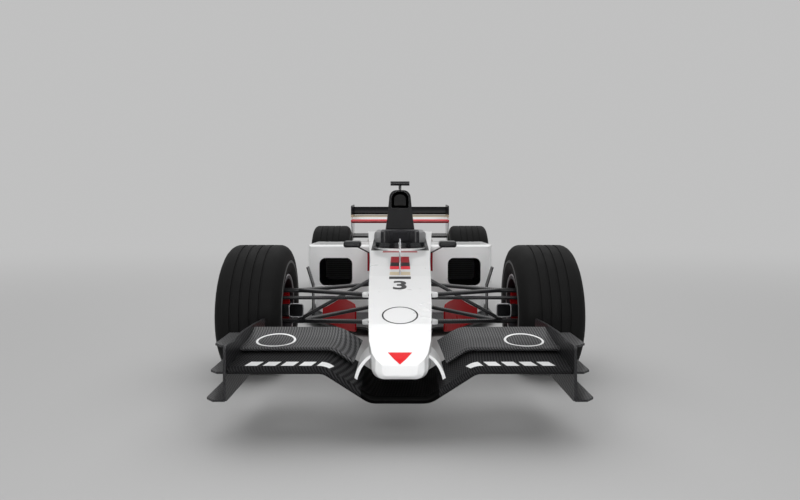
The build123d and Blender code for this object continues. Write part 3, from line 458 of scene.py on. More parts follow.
def zoned(finish, zones):
    """Adds zones of other colours, each inside boxes of X, |Y| and Z ranges, and dulls them on gloss."""
    tree = finish.node_tree
    bsdf = tree.nodes["Principled BSDF"]
    x, y, z = car_axes(tree)
    beside = sum_up(tree, "ABSOLUTE", y)
    shown = bsdf.inputs["Base Color"].links[0].from_socket
    dull = 0.0
    for zone_colour, boxes in zones:
        inside = 0.0
        for ranges in boxes:
            part = 1.0
            for place, (low, high) in zip((x, beside, z), ranges):
                part = sum_up(tree, "MULTIPLY", between(tree, place, low, high), part)
            inside = sum_up(tree, "MAXIMUM", part, inside)
        shown = tint(tree, inside, shown, zone_colour)
        dull = sum_up(tree, "MAXIMUM", inside, dull)
    tree.links.new(shown, bsdf.inputs["Base Color"])
    for name in ("Specular IOR Level", "Coat Weight"):
        gloss = bsdf.inputs[name].default_value
        if gloss > matt_gloss:
            tree.links.new(spread(tree, dull, gloss, 0.1 * gloss), bsdf.inputs[name])
    return finish


# The first of these is a near black that paints shade into the sidepod inlets, the mouth of the airbox and
# the spoon of the front wing
painted_shade_black, cream, pink = (0.001, 0.001, 0.001), (0.6, 0.5, 0.34), (0.8, 0.25, 0.25)
dark_red, bright_red = (0.3, 0.006, 0.014), (0.72, 0.02, 0.04)
anywhere = (-9.0, 9.0)
on_top = (0.4, 0.9)


def band(low, high):
    """A zone that runs all round a solid between two heights."""
    return [(anywhere, anywhere, (low, high))]


def within(half):
    """The range of |Y| from just past the middle of the car out to half a width."""
    return (-0.01, half)


print("zones ready")

# %% Body and wings in several colours
# The cell: cockpit walls and a bar, a panel, a stripe in three parts, and red in front and beside the screen
cell_paint = zoned(paint_finish("cell_paint", white, dusty_white), (
    (black, [((-0.605, 0.242), within(0.2056), (0.1, 0.7)), ((1.31, 1.365), within(0.057), on_top)]),
    (cream, [((1.18, 1.27), within(0.056), on_top)]),
    (bright_red, [((1.0, 1.1), within(0.058), on_top)]),
    (black, [((0.85, 1.0), within(0.058), on_top)]),
    (dark_red, [
        ((0.58, 0.85), within(0.058), on_top),
        ((0.27, 0.36), within(0.12), on_top),
        ((-0.052, 0.25), (0.19, 0.3), (0.38, 0.535)),
    ]),
))
# The sidepods: red beside the cell, which is a painted reflection of the red side of the cell, and near black
# on the walls of the inlet, which is painted shade
pod_paint = zoned(paint_finish("pod_paint", white, dusty_white), (
    (dark_red, [((-0.2, 0.0), (0.2, 0.247), (0.375, 0.52))]),
    (painted_shade_black, [((-0.48, -0.0515), (0.358, 0.614), (0.262, 0.478))]),
))
# The rear wing: bands across it, from the top down
rear_wing_paint = zoned(paint_finish("rear_wing_paint", black, (0.012, 0.012, 0.012), 0.01), (
    (cream, band(0.747, 0.775)),
    (white, band(0.722, 0.747)),
    (bright_red, band(0.711, 0.722)),
    (pink, band(0.701, 0.711)),
    (dark_red, band(0.6, 0.701)),
))
rear_plate_paint = zoned(paint_finish("rear_plate_paint", white, dusty_white), (
    (black, band(0.773, 1.0)),
    (cream, band(0.745, 0.773)),
    (bright_red, band(0.69, 0.718)),
))
# The front wing is painted near black in its spoon, as painted shade of its dark underside, and the cover
# is painted near black in the mouth of its airbox, as painted shade inside it
wing_carbon = carbon_finish("wing_carbon", (0.006, 0.006, 0.0065), (0.03, 0.03, 0.031), 0.5, 0.015)
cover_carbon = carbon_finish("cover_carbon", (0.005, 0.005, 0.006), (0.013, 0.013, 0.014), 0.45, 0.03)
zoned(wing_carbon, ((painted_shade_black, [(anywhere, within(0.14), anywhere)]),))
zoned(cover_carbon, ((painted_shade_black, [((-0.83, -0.6505), within(0.0745), (0.848, 0.994))]),))
print("finishes with zones ready")

# %% Give every solid its finish
# What isn't named here is black carbon
finishes = (
    (paint_white, ("nose_cone", "front_wing_pylons")),
    (cell_paint, ("monocoque",)),
    (pod_paint, ("sidepod_left", "sidepod_right")),
    (paint_red, ("bargeboards", "brake_caliper_left", "brake_caliper_right")),
    (cover_carbon, ("engine_cover",)),
    (wing_carbon, ("front_wing_main",)),
    (carbon_grey, ("front_wing_flaps",)),
    (rear_wing_paint, ("rear_wing_main", "rear_wing_flap")),
    (rear_plate_paint, ("rear_wing_endplates",)),
    (cast_metal, ("engine", "gearbox", "front_upright_left", "front_upright_right", "rear_uprights")),
    (bright_metal, ("driveshaft_left", "driveshaft_right", "antenna")),
    (hot_steel, ("exhausts",)),
    (radiator_fins, ("radiators",)),
    (skid_wood, ("plank",)),
    (pad_cloth, ("headrest",)),
    (screen_clear, ("windscreen",)),
    (lamp_red, ("rain_light",)),
    (tyre_rubber, [name for name in nodes if "tyre" in name]),
    (rim_metal, [name for name in nodes if "_rim_" in name]),
)
finish_of = {name: finish for finish, names in finishes for name in names}
for name, node in nodes.items():
    node.data.materials.clear()
    node.data.materials.append(finish_of.get(name, carbon_black))
print("painted", len(nodes), "solids")

# %% [markdown]
# ## Tools for modelling
# Each new piece starts from a primitive and is shaped in edit mode, as by hand. These helpers keep the
# selection clean, spin a drawn line into a round piece, and hang a finished piece on the body it moves with.


# %% Modelling helpers
def clear_selection():
    """Goes back to object mode with nothing selected."""
    if bpy.context.object and bpy.context.object.mode != "OBJECT":
        bpy.ops.object.mode_set(mode="OBJECT")
    bpy.ops.object.select_all(action="DESELECT")


def pick(piece):
    """Selects one piece alone."""
    clear_selection()
    piece.select_set(True)
    bpy.context.view_layer.objects.active = piece


def open_mesh():
    """Goes to edit mode with the whole mesh of the active piece selected."""
    bpy.ops.object.mode_set(mode="EDIT")
    bpy.ops.mesh.select_all(action="SELECT")


def settle(piece, name, body, finish, smooth=35.0):
    """Puts a piece's place into its mesh, shades it, and hangs it on a body."""
    pick(piece)
    piece.name = name
    piece.data.name = name
    bpy.ops.object.transform_apply(location=True, rotation=True, scale=True)
    bpy.ops.object.shade_smooth_by_angle(angle=radians(smooth))
    piece.data.materials.clear()
    piece.data.materials.append(finish)
    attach(piece, body)
    return piece


def join(pieces):
    """Joins pieces into the first of them."""
    clear_selection()
    for piece in pieces:
        piece.select_set(True)
    bpy.context.view_layer.objects.active = pieces[0]
    bpy.ops.object.join()
    return pieces[0]


def turned_copy(piece, angle, axis, centre):
    """Copies a piece with a mesh of its own, and turns the copy about an axis through a centre."""
    pick(piece)
    bpy.ops.object.duplicate(linked=False)
    bpy.context.view_layer.update()
    copy = bpy.context.object
    turn = Matrix.Translation(centre) @ Matrix.Rotation(angle, 4, axis) @ Matrix.Translation(-Vector(centre))
    copy.matrix_world = turn @ copy.matrix_world
    bpy.ops.object.transform_apply(location=True, rotation=True, scale=True)
    return copy


def both_sides(left, x):
    """A wheel piece of the left, and its copy on the right, half a turn about the upright line at X."""
    return ("left", left), ("right", turned_copy(left, pi, "Z", (x, 0.0, 0.0)))


def bevelled(piece, width, segments=2):
    """Rounds the sharp edges of a piece and applies the modifier."""
    pick(piece)
    edge = piece.modifiers.new("edge", "BEVEL")
    edge.width = width
    edge.segments = segments
    edge.limit_method = "ANGLE"
    bpy.ops.object.modifier_apply(modifier="edge")
    return piece


def lathe(line, centre, axis, steps):
    """Spins a line of points, each along the axis and out from it, round an axis through a centre."""
    clear_selection()
    axis = Vector(axis)
    out = axis.orthogonal().normalized()
    points = [Vector(centre) + axis * along + out * radius for along, radius in line]
    bpy.ops.mesh.primitive_plane_add(size=0.01, location=(0.0, 0.0, 0.0))
    piece = bpy.context.object
    open_mesh()
    bpy.ops.mesh.merge(type="CENTER")
    bpy.ops.transform.translate(value=points[0])
    for start, end in zip(points, points[1:]):
        bpy.ops.mesh.extrude_vertices_move(TRANSFORM_OT_translate={"value": end - start})
    bpy.ops.mesh.select_all(action="SELECT")
    bpy.ops.mesh.spin(steps=steps, angle=2 * pi, center=centre, axis=axis)
    bpy.ops.mesh.select_all(action="SELECT")
    bpy.ops.mesh.remove_doubles(threshold=0.00002)
    bpy.ops.mesh.normals_make_consistent(inside=False)
    bpy.ops.object.mode_set(mode="OBJECT")
    return piece


def moved_on(line, start):
    """Moves a line of points for the lathe along its axis, to start from a place on it."""
    return [(start + along, radius) for along, radius in line]


def block(size, place, edge=0.0, segments=2):
    """Makes a box of a size at a place, with rounded edges."""
    clear_selection()
    bpy.ops.mesh.primitive_cube_add(size=1.0, location=place)
    piece = bpy.context.object
    piece.scale = size
    bpy.ops.object.transform_apply(location=False, rotation=False, scale=True)
    if edge:
        bevelled(piece, edge, segments)
    return piece


print("modelling helpers ready")

# %% [markdown]
# ## Tyres
# The rules of the time asked for four grooves round each tread. A tyre is a body of revolution, so its half
# section is drawn as a line, with the grooves in it, and spun about the axle. That gives grooves that catch
# real shadow, where a painted stripe would stay flat. The shoulder is a run of short steps that rounds off.

# %% Tyres with four grooves
joint_place = {joint["name"]: joint.get("pos_m") for joint in frame["joints"]}
outwards = (0.0, 1.0, 0.0)
axle_x, tyre_middle = {}, {}
for axle in ("front", "rear"):
    axle_x[axle], tyre_middle[axle], tyre_radius = joint_place[f"{axle}_wheel_left_spin"]
tyre_half = {"front": 0.16, "rear": 0.1925}
bore_radius, tyre_steps = 0.1605, 128
# Sidewall from the bead to the tread: inset from the widest point and drop below the tread
sidewall = (
    (0.0245, 0.1695), (0.016, 0.158), (0.0135, 0.15), (0.0075, 0.142), (0.003, 0.115), (0.0008, 0.09),
    (0.0018, 0.062), (0.0068, 0.04), (0.0145, 0.024), (0.026, 0.0115), (0.038, 0.0042), (0.05, 0.0008),
)
groove_pitch = {"front": 0.046, "rear": 0.06}
groove_half, groove_floor, groove_depth = 0.006, 0.004, 0.005


def tread_line(pitch):
    """Half sections of the grooves across a tread, from one side to the other."""
    line = []
    for place in (-1.5, -0.5, 0.5, 1.5):
        middle = place * pitch
        line += [
            (middle - groove_half, tyre_radius), (middle - groove_floor, tyre_radius - groove_depth),
            (middle + groove_floor, tyre_radius - groove_depth), (middle + groove_half, tyre_radius),
        ]
    return line


for axle, x in axle_x.items():
    rising = [(inset - tyre_half[axle], tyre_radius - drop) for inset, drop in sidewall]
    falling = [(-along, radius) for along, radius in reversed(rising)]
    start, end = (rising[0][0], bore_radius), (falling[-1][0], bore_radius)
    line = [start] + rising + tread_line(groove_pitch[axle]) + falling + [end, start]
    left_tyre = lathe(line, (x, tyre_middle[axle], tyre_radius), outwards, tyre_steps)
    for side, tyre in both_sides(left_tyre, x):
        settle(tyre, f"{axle}_grooved_tyre_{side}", f"{axle}_wheel_{side}", tyre_rubber, 28.0)
        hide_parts(f"{axle}_tyre_{side}")
    print(axle, "tyre faces:", len(left_tyre.data.polygons))

# %% [markdown]
# ## Wheels
# A forged wheel has a thin barrel with rolled lips, seven tapered spokes, and one hexagon nut in the middle.
# The barrel and the hub are spun, one spoke is drawn out from a box and copied round, and the brake disc is
# a thick ring with a cooling slot round its edge. Each is made on the left and copied to the right.

# %% Barrel, spoke and nut
rim_radius, lip_radius = 0.16, 0.178
hub_face, hub_back = 0.83, 0.70
spokes, spoke_size, spoke_middle = 7, (0.03, 0.024, 0.125), 0.0935
nut_radius, nut_length, nut_middle = 0.036, 0.024, 0.844


def barrel(centre, half):
    """Thin barrel with a rolled lip on both sides."""
    inner, edge = rim_radius - 0.008, half - 0.014
    line = [
        (-edge, inner), (-edge - 0.0005, lip_radius - 0.004), (-edge + 0.002, lip_radius),
        (-edge + 0.006, lip_radius), (-edge + 0.009, rim_radius + 0.006), (-edge + 0.014, rim_radius),
        (edge - 0.014, rim_radius), (edge - 0.009, rim_radius + 0.006), (edge - 0.006, lip_radius),
        (edge - 0.002, lip_radius), (edge + 0.0005, lip_radius - 0.004), (edge, inner + 0.004),
        (edge - 0.012, inner), (edge - 0.05, inner - 0.004), (edge - 0.06, inner), (-edge, inner),
    ]
    return lathe(line, centre, outwards, 96)


def spoke(x):
    """One tapered spoke that stands up from the hub to the barrel."""
    length = spoke_size[2]
    piece = block(spoke_size, (x, hub_face - 0.013, tyre_radius + spoke_middle))
    open_mesh()
    bpy.ops.mesh.subdivide(number_cuts=3)
    bpy.ops.object.mode_set(mode="OBJECT")
    # Wide at the foot, narrow past the middle and wider at the barrel, and thinner all the way out
    for point in piece.data.vertices:
        rise = point.co.z / length + 0.5
        point.co.x *= 1.35 - 0.9 * rise + 0.75 * rise * rise
        point.co.y *= 1.1 - 0.35 * rise
    return bevelled(piece, 0.005)


def wheel_nut(x):
    """Hexagon nut with rounded edges on the outer end of the hub."""
    clear_selection()
    bpy.ops.mesh.primitive_cylinder_add(vertices=6, radius=nut_radius, depth=nut_length)
    nut = bpy.context.object
    nut.location = (x, nut_middle, tyre_radius)
    nut.rotation_euler = (pi / 2, 0.0, 0.0)
    return bevelled(nut, 0.003)


print("spokes on each wheel:", spokes)

# %% Four wheels with their discs and nuts
hub_line = [
    (hub_back, 0.0255), (hub_back, 0.046), (hub_back + 0.07, 0.046), (hub_back + 0.08, 0.042),
    (hub_face - 0.03, 0.042), (hub_face - 0.024, 0.05), (hub_face - 0.004, 0.05), (hub_face, 0.046),
    (hub_face, 0.036), (hub_face + 0.003, 0.034), (hub_face + 0.003, 0.0),
]
disc_line = (
    (0.0, 0.045), (0.0, 0.062), (0.001, 0.066), (0.001, 0.118), (0.003, 0.12), (0.01, 0.12), (0.01, 0.115),
    (0.018, 0.115), (0.018, 0.12), (0.025, 0.12), (0.027, 0.118), (0.027, 0.066), (0.028, 0.062),
    (0.028, 0.045),
)

for axle, x in axle_x.items():
    pin = (x, 0.0, tyre_radius)
    first = spoke(x)
    arms = [first] + [turned_copy(first, 2 * pi * number / spokes, "Y", pin) for number in range(1, spokes)]
    rim = barrel((x, tyre_middle[axle], tyre_radius), tyre_half[axle])
    wheel = join([rim, lathe(hub_line, pin, outwards, 48)] + arms)
    disc = lathe(moved_on(disc_line, hub_back), pin, outwards, 72)
    for side, piece in both_sides(wheel, x):
        settle(piece, f"{axle}_rim_spokes_{side}", f"{axle}_wheel_{side}", rim_metal, 30.0)
        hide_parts(f"{axle}_rim_{side}")
    for side, piece in both_sides(disc, x):
        settle(piece, f"{axle}_brake_disc_{side}", f"{axle}_wheel_{side}", disc_carbon, 30.0)
    for side, piece in both_sides(wheel_nut(x), x):
        settle(piece, f"{axle}_wheel_nut_{side}", f"{axle}_wheel_{side}", bright_metal, 30.0)

# %% [markdown]
# ## Markings
# The nose carries a start number, a plain ring and a small triangle, and the wings carry plain white bars and
# rings. On the car they are thin films that follow the surface. Each is drawn flat above its place, laid on
# the solid by Shrinkwrap along one direction, and given the thickness of a film.


# %% Lay a flat shape on a solid
def lay_on(piece, target, lift=0.0007, film=0.0006):
    """Drops a flat piece along its own Z axis onto a solid and gives it a thickness."""
    pick(piece)
    wrap = piece.modifiers.new("wrap", "SHRINKWRAP")
    wrap.target = nodes[target]
    wrap.wrap_method = "PROJECT"
    wrap.use_project_z = True
    wrap.use_positive_direction = False
    wrap.use_negative_direction = True
    wrap.offset = lift
    thick = piece.modifiers.new("thick", "SOLIDIFY")
    thick.thickness = film
    thick.offset = -1.0
    bpy.ops.object.modifier_apply(modifier="wrap")
    bpy.ops.object.modifier_apply(modifier="thick")
    return piece


def flat_ring(place, half_length, half_width, band):
    """Draws a flat oval ring in the level plane."""
    clear_selection()
    bpy.ops.mesh.primitive_circle_add(vertices=72, radius=1.0, fill_type="NGON", location=place)
    ring = bpy.context.object
    ring.scale = (half_length, half_width, 1.0)
    bpy.ops.object.transform_apply(location=False, rotation=False, scale=True)
    open_mesh()
    bpy.ops.mesh.inset(thickness=band)
    bpy.ops.mesh.delete(type="FACE")
    bpy.ops.object.mode_set(mode="OBJECT")
    return ring


def flat_bar(place, length, width, slant, cuts):
    """Draws a flat bar across the car whose ends slant."""
    clear_selection()
    bpy.ops.mesh.primitive_plane_add(size=1.0, location=place)
    bar = bpy.context.object
    bar.scale = (length, width, 1.0)
    bpy.ops.object.transform_apply(location=False, rotation=False, scale=True)
    for point in bar.data.vertices:
        point.co.y += slant * point.co.x / length
    open_mesh()
    bpy.ops.mesh.subdivide(number_cuts=cuts)
    bpy.ops.object.mode_set(mode="OBJECT")
    return bar


# Flat shapes are drawn at this height, over everything that they are laid on
above = 0.7
sides = (("left", 1.0), ("right", -1.0))
nose_ring_x, nose_ring_size = 1.945, (0.104, 0.077, 0.007)
flap_ring_x, flap_ring_y, flap_ring_size = 2.075, 0.495, (0.074, 0.079, 0.009)
bar_x, bar_length, bar_width, bar_slant = 2.291, 0.05, 0.045, 0.012
bar_places = (0.27, 0.335, 0.4, 0.465, 0.53)

ring = lay_on(flat_ring((nose_ring_x, 0.0, above), *nose_ring_size), "nose_cone")
settle(ring, "nose_ring", "chassis", paint_black)
for side, sign in sides:
    ring = lay_on(flat_ring((flap_ring_x, sign * flap_ring_y, above), *flap_ring_size), "front_wing_flaps")
    settle(ring, f"flap_ring_{side}", "chassis", paint_white)
    for number, place in enumerate(bar_places):
        bar = flat_bar((bar_x, sign * place, above), bar_length, bar_width, bar_slant * sign, 6)
        bar = lay_on(bar, "front_wing_main")
        settle(bar, f"wing_bar_{number}_{side}", "chassis", paint_white)
print("markings on the wings")

# %% Start number
number_x, number_size, number_squeeze, number_weight = 1.568, 0.225, 0.72, 0.006
clear_selection()
bpy.ops.object.text_add(location=(number_x, 0.0, above), rotation=(0.0, 0.0, pi / 2))
number = bpy.context.object
number.data.body = "3"
number.data.align_x = "CENTER"
number.data.size = number_size
number.data.offset = number_weight
number.scale.x = number_squeeze
bpy.ops.object.convert(target="MESH")
number = bpy.context.object
open_mesh()
bpy.ops.mesh.remove_doubles(threshold=0.0001)
bpy.ops.mesh.quads_convert_to_tris()
bpy.ops.mesh.subdivide(number_cuts=1)
bpy.ops.object.mode_set(mode="OBJECT")
number = lay_on(number, "monocoque")
settle(number, "start_number", "chassis", paint_black)
print("number faces:", len(number.data.polygons))

# %% Triangle on the tip of the nose
# The triangle is drawn upright ahead of the nose, with its lower corner at this place
tip_place, tip_corners = (2.5, 0.0, 0.3), ((0.0, 0.0), (-0.044, 0.032), (0.044, 0.032))
clear_selection()
bpy.ops.mesh.primitive_circle_add(
    vertices=3, radius=0.02, fill_type="NGON", location=tip_place, rotation=(pi / 2, 0.0, pi / 2)
)
tip_mark = bpy.context.object
for point, (across, up) in zip(tip_mark.data.vertices, tip_corners):
    point.co = (across, up, 0.0)
open_mesh()
for cut in range(4):
    bpy.ops.mesh.subdivide(number_cuts=1)
bpy.ops.mesh.quads_convert_to_tris()
bpy.ops.object.mode_set(mode="OBJECT")
tip_mark = lay_on(tip_mark, "nose_cone")
settle(tip_mark, "tip_triangle", "chassis", paint_bright_red)
print("triangle faces:", len(tip_mark.data.polygons))

# %% [markdown]
# ## Rings on the wheels
# A printed ring runs round each sidewall, and the edge of each rim is bare where tyre levers have rubbed it.
# Both are thin closed rings spun about the axle. They stand less than a millimetre proud, so they read as
# print and as worn metal, and they turn with the wheel.

# %% Sidewall and rim rings
ring_grey = rubber_finish("ring_grey", (0.09, 0.09, 0.09), (0.17, 0.17, 0.17))
# Name, inset of its face from the side of the tyre, closed line from that face, finish and slot
rings = (
    ("sidewall_ring", 0.0, (
        (-0.0015, 0.2345), (0.0002, 0.236), (0.0002, 0.2465), (-0.0015, 0.248), (-0.0015, 0.2345),
    ), ring_grey, "tyre"),
    ("rim_edge", 0.0135, (
        (-0.001, 0.1655), (0.0008, 0.167), (0.0008, 0.1735), (-0.002, 0.1765), (-0.001, 0.1655),
    ), bright_metal, "metal"),
)
for axle, x in axle_x.items():
    middle = (x, tyre_middle[axle], tyre_radius)
    for kind, inset, line, finish, slot in rings:
        outer = lathe(moved_on(line, tyre_half[axle] - inset), middle, outwards, 96)
        inner = turned_copy(outer, pi, "Z", middle)
        for face, left_ring in (("inner", inner), ("outer", outer)):
            for side, ring in both_sides(left_ring, x):
                settle(ring, f"{axle}_{kind}_{face}_{side}", f"{axle}_wheel_{side}", finish)

# %% [markdown]
# ## Collars and lips
# The front legs of the wishbones enter the survival cell through pale collars, and thin lips trim the mouths
# of the airbox and the brake ducts. A collar is a rounded block turned along its leg. A lip starts as a flat
# outline of the mouth, which is inset to a band and drawn out a few millimetres.


# %% Collars on the front legs
def sleeve(start, end, near, far, size):
    """Slips a rounded sleeve over a leg between two shares of its length."""
    start, end = Vector(start), Vector(end)
    run = end - start
    piece = block((size[0], run.length * (far - near), size[1]), (0.0, 0.0, 0.0), 0.006, 3)
    turn = run.to_track_quat("Y", "Z").to_matrix().to_4x4()
    piece.matrix_world = Matrix.Translation(start + run * ((near + far) / 2)) @ turn
    return piece


# Places ahead and beside where the front legs start and end, and the heights of both ends
leg_start, leg_end = (1.3, 0.53), (1.5, 0.11)
leg_heights = (("upper", 0.42, 0.424), ("lower", 0.258, 0.292))
collar_near, collar_far, collar_size = 0.83, 0.903, (0.045, 0.026)
for side, sign in sides:
    for name, outer_z, inner_z in leg_heights:
        start = (leg_start[0], sign * leg_start[1], outer_z)
        end = (leg_end[0], sign * leg_end[1], inner_z)
        collar = sleeve(start, end, collar_near, collar_far, collar_size)
        settle(collar, f"{name}_arm_collar_{side}", "chassis", paint_white)
print("collars ready")

# %% Lips of the airbox and the brake ducts
lip_points = 64


def arch(angle, half, up, down, top_power, low_power):
    """Place across and up on an outline whose top and bottom are rounded by different powers."""
    power, rise = (top_power, up) if sin(angle) > 0 else (low_power, down)
    across = half * abs(cos(angle)) ** (2 / power) * (1 if cos(angle) > 0 else -1)
    height = rise * abs(sin(angle)) ** (2 / power) * (1 if sin(angle) > 0 else -1)
    return across, height


def mouth_lip(place, outline, band, depth):
    """Draws the outline of a mouth that looks ahead, insets it to a band and draws that out."""
    clear_selection()
    bpy.ops.mesh.primitive_circle_add(vertices=lip_points, radius=0.1, fill_type="NGON", location=place)
    lip = bpy.context.object
    for number, point in enumerate(lip.data.vertices):
        across, height = arch(2 * pi * number / lip_points, *outline)
        point.co = (0.0, across, height)
    open_mesh()
    bpy.ops.mesh.inset(thickness=band)
    bpy.ops.mesh.delete(type="FACE")
    bpy.ops.mesh.select_all(action="SELECT")
    bpy.ops.mesh.extrude_region_move(TRANSFORM_OT_translate={"value": (depth, 0.0, 0.0)})
    bpy.ops.mesh.select_all(action="SELECT")
    bpy.ops.mesh.normals_make_consistent(inside=False)
    bpy.ops.object.mode_set(mode="OBJECT")
    return bevelled(lip, 0.0012)


# Each outline: half width, rise, drop, and the powers that round its top and its bottom
lip_band, lip_depth = 0.005, 0.005
airbox_place, airbox_outline = (-0.652, 0.0, 0.9), (0.0785, 0.0965, 0.0545, 2.9, 9.0)
duct_x, duct_y, duct_z, duct_outline = 1.448, 0.524, 0.34, (0.0385, 0.0355, 0.0355, 5.0, 5.0)
lip = mouth_lip(airbox_place, airbox_outline, lip_band, lip_depth)
settle(lip, "airbox_lip", "chassis", carbon_grey)
# Each brake duct gets a real lip, and its pale metal is a painted highlight on the rounded rim of the duct
for side, sign in sides:
    lip = mouth_lip((duct_x, sign * duct_y, duct_z), duct_outline, lip_band, lip_depth)
    settle(lip, f"brake_duct_lip_{side}", f"knuckle_{side}", cast_metal)
print("lips ready")

# %% [markdown]
# ## Headrest
# The collar round the driver's head is foam in a cloth cover, so it is never quite flat. The solid is
# copied, remeshed and drawn in a little, then swelled as cloth under pressure. The move of each point is
# capped, so the pad keeps to the room that its solid has between the walls of the cockpit.

# %% Swell the headrest
pad_voxel, pad_drawn_in, pad_pressure, pad_cap, pad_frames = 0.005, 0.006, 4.0, 0.007, 20
pad = bpy.data.objects.new("headrest_pad", nodes["headrest"].data.copy())
scene.collection.objects.link(pad)
pick(pad)
pad.data.remesh_voxel_size = pad_voxel
bpy.ops.object.voxel_remesh()
drawn_in = pad.modifiers.new("drawn_in", "DISPLACE")
drawn_in.strength = -pad_drawn_in
drawn_in.mid_level = 0.0
bpy.ops.object.modifier_apply(modifier="drawn_in")
before = [point.co.copy() for point in pad.data.vertices]
swell = pad.modifiers.new("swell", "CLOTH")
swell.settings.use_pressure = True
swell.settings.uniform_pressure_force = pad_pressure
swell.settings.effector_weights.gravity = 0.0
for step in range(1, pad_frames + 1):
    scene.frame_set(step)
bpy.ops.object.modifier_apply(modifier="swell")
scene.frame_set(1)
for point, start in zip(pad.data.vertices, before):
    move = point.co - start
    if move.length > pad_cap:
        point.co = start + move * (pad_cap / move.length)
finer = pad.modifiers.new("finer", "SUBSURF")
finer.levels = finer.render_levels = 1
bpy.ops.object.modifier_apply(modifier="finer")
# The tops of the side arms are paler
pad_cover = zoned(cloth_finish("pad_cover", pad_dark, pad_pale, pad_thread), (
    ((0.3, 0.3, 0.305), [(anywhere, (0.152, 0.3), (0.5, 0.7))]),
))
settle(pad, "headrest_pad", "chassis", pad_cover, 60.0)
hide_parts("headrest")
print("pad faces:", len(pad.data.polygons))

# %% [markdown]
# ## Cockpit
# The belts are flat webbing, so they are strips laid on the seat by Shrinkwrap and given a thickness. The
# steering wheel gets cloth grips, a small screen and push buttons, which turn with it.

# %% Belts
belt_width, belt_film = 0.046, 0.003
shoulder_x, shoulder_y, shoulder_length, shoulder_lift = -0.315, 0.065, 0.37, 0.004
lap_x, lap_length, lap_lift = -0.2, 0.29, 0.0045
for side, sign in sides:
    strap = flat_bar((shoulder_x, sign * shoulder_y, above), shoulder_length, belt_width, 0.0, 24)
    strap = lay_on(strap, "seat", shoulder_lift, belt_film)
    settle(strap, f"shoulder_belt_{side}", "chassis", belt_cloth)
strap = flat_bar((lap_x, 0.0, above), belt_width, lap_length, 0.0, 12)
strap = lay_on(strap, "seat", lap_lift, belt_film)
settle(strap, "lap_belt", "chassis", belt_cloth)
buckle_seat = nodes["seat"].ray_cast(Vector((lap_x, 0.0, above)), Vector((0.0, 0.0, -1.0)))[1]
buckle_line = [
    (0.004, 0.0), (0.004, 0.034), (0.009, 0.034), (0.013, 0.03), (0.013, 0.012), (0.016, 0.01), (0.016, 0.0),
]
buckle = lathe(buckle_line, buckle_seat, (0.0, 0.0, 1.0), 40)
settle(buckle, "belt_buckle", "chassis", bright_metal)
print("belts and buckle ready")

# %% Steering wheel fittings
wheel_face, wheel_y, wheel_z = joint_place["steering_wheel_turn"]
button_line = [(-0.001, 0.0), (-0.001, 0.0075), (0.003, 0.0075), (0.0055, 0.0055), (0.0055, 0.0)]
# Place across and up from the middle of the wheel, finish and slot
buttons = (
    (0.052, 0.034, paint_bright_red, "paint_red"), (-0.052, 0.034, paint_cream, "paint_white"),
    (0.05, -0.008, paint_white, "paint_white"), (-0.05, -0.008, paint_white, "paint_white"),
    (0.036, -0.046, paint_cream, "paint_white"), (-0.036, -0.046, paint_bright_red, "paint_red"),
)
display_size, display_up = (0.006, 0.07, 0.034), 0.032
grip_size, grip_ahead, grip_beside = (0.04, 0.027, 0.096), 0.017, 0.124
for number, (across, up, finish, slot) in enumerate(buttons):
    button = lathe(button_line, (wheel_face, wheel_y + across, wheel_z + up), (-1.0, 0.0, 0.0), 20)
    settle(button, f"wheel_button_{number}", "steering_wheel", finish)
display = block(display_size, (wheel_face - 0.001, wheel_y, wheel_z + display_up), 0.002)
settle(display, "wheel_display", "steering_wheel", mirror_glass)
for side, sign in sides:
    grip = block(grip_size, (wheel_face + grip_ahead, wheel_y + sign * grip_beside, wheel_z), 0.011, 4)
    settle(grip, f"wheel_grip_{side}", "steering_wheel", pad_cloth)
print("steering wheel fittings ready")

# %% [markdown]
# ## Mirrors, exhausts and panels
# Each mirror gets a thin glass with rounded edges, and each exhaust a rolled lip that is spun about the
# pipe. Panels of the sidepods are split by fine gaps and held by flat fasteners, both laid on the paint.

# %% Mirror glass and exhaust lips
glass_size, glass_x, glass_y, glass_z = (0.004, 0.1, 0.03), 0.0845, 0.346, 0.59
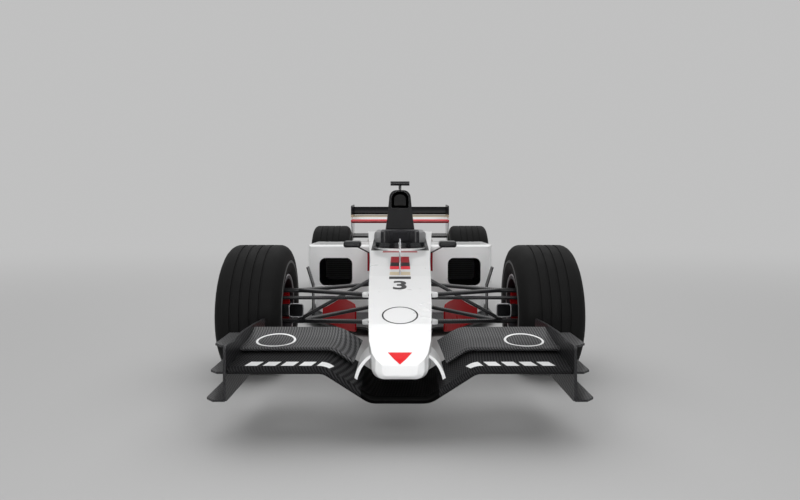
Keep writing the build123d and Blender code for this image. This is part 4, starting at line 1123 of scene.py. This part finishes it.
# Exhaust pipes: where they start, which way they run, and how long they are
pipe_start, pipe_run, pipe_length = (-1.04, 0.3, 0.38), (-1.0, -0.12, 0.55), 0.3
pipe_lip_line = [
    (-0.012, 0.0415), (-0.012, 0.0452), (-0.002, 0.0458), (0.0015, 0.0435), (0.0015, 0.0395),
    (-0.003, 0.0375), (-0.012, 0.0415),
]
for side, sign in sides:
    glass = block(glass_size, (glass_x, sign * glass_y, glass_z), 0.0015)
    settle(glass, f"mirror_glass_{side}", "chassis", mirror_glass)
    mirror = Vector((1.0, sign, 1.0))
    pipe_way = (Vector(pipe_run) * mirror).normalized()
    pipe_end = Vector(pipe_start) * mirror + pipe_length * pipe_way
    lip = lathe(pipe_lip_line, pipe_end, pipe_way, 48)
    settle(lip, f"exhaust_lip_{side}", "chassis", hot_steel)
print("glass and lips ready")


# %% Panel gaps and fasteners
def flat_disc(place, radius):
    """Draws a small flat disc with a ring cut round its middle."""
    clear_selection()
    bpy.ops.mesh.primitive_circle_add(vertices=20, radius=radius, fill_type="NGON", location=place)
    disc = bpy.context.object
    open_mesh()
    bpy.ops.mesh.inset(thickness=0.35 * radius)
    bpy.ops.object.mode_set(mode="OBJECT")
    return disc


gap_places, gap_middle, gap_width, gap_length = (-0.22, -0.62), 0.45, 0.003, 0.36
head_places, head_behind, head_radius = (0.3, 0.4, 0.5, 0.6), 0.02, 0.008
# Fasteners where the nose meets the cell: place ahead and beside, and what they are laid on
nose_heads, nose_head_radius = ((1.602, 0.1, "nose_cone"), (1.555, 0.1, "monocoque")), 0.007
# Lift and thickness of each
gap_film, head_film, nose_head_film = (0.0012, 0.001), (0.0011, 0.001), (0.0009, 0.0008)
for side, sign in sides:
    pod = f"sidepod_{side}"
    for number, x in enumerate(gap_places):
        gap = flat_bar((x, sign * gap_middle, above), gap_width, gap_length, 0.0, 30)
        gap = lay_on(gap, pod, *gap_film)
        settle(gap, f"pod_gap_{number}_{side}", "chassis", paint_black)
        for count, y in enumerate(head_places):
            head = lay_on(flat_disc((x - head_behind, sign * y, above), head_radius), pod, *head_film)
            settle(head, f"pod_fastener_{number}_{count}_{side}", "chassis", bright_metal)
    for count, (x, y, node) in enumerate(nose_heads):
        head = lay_on(flat_disc((x, sign * y, above), nose_head_radius), node, *nose_head_film)
        settle(head, f"nose_fastener_{count}_{side}", "chassis", paint_white)
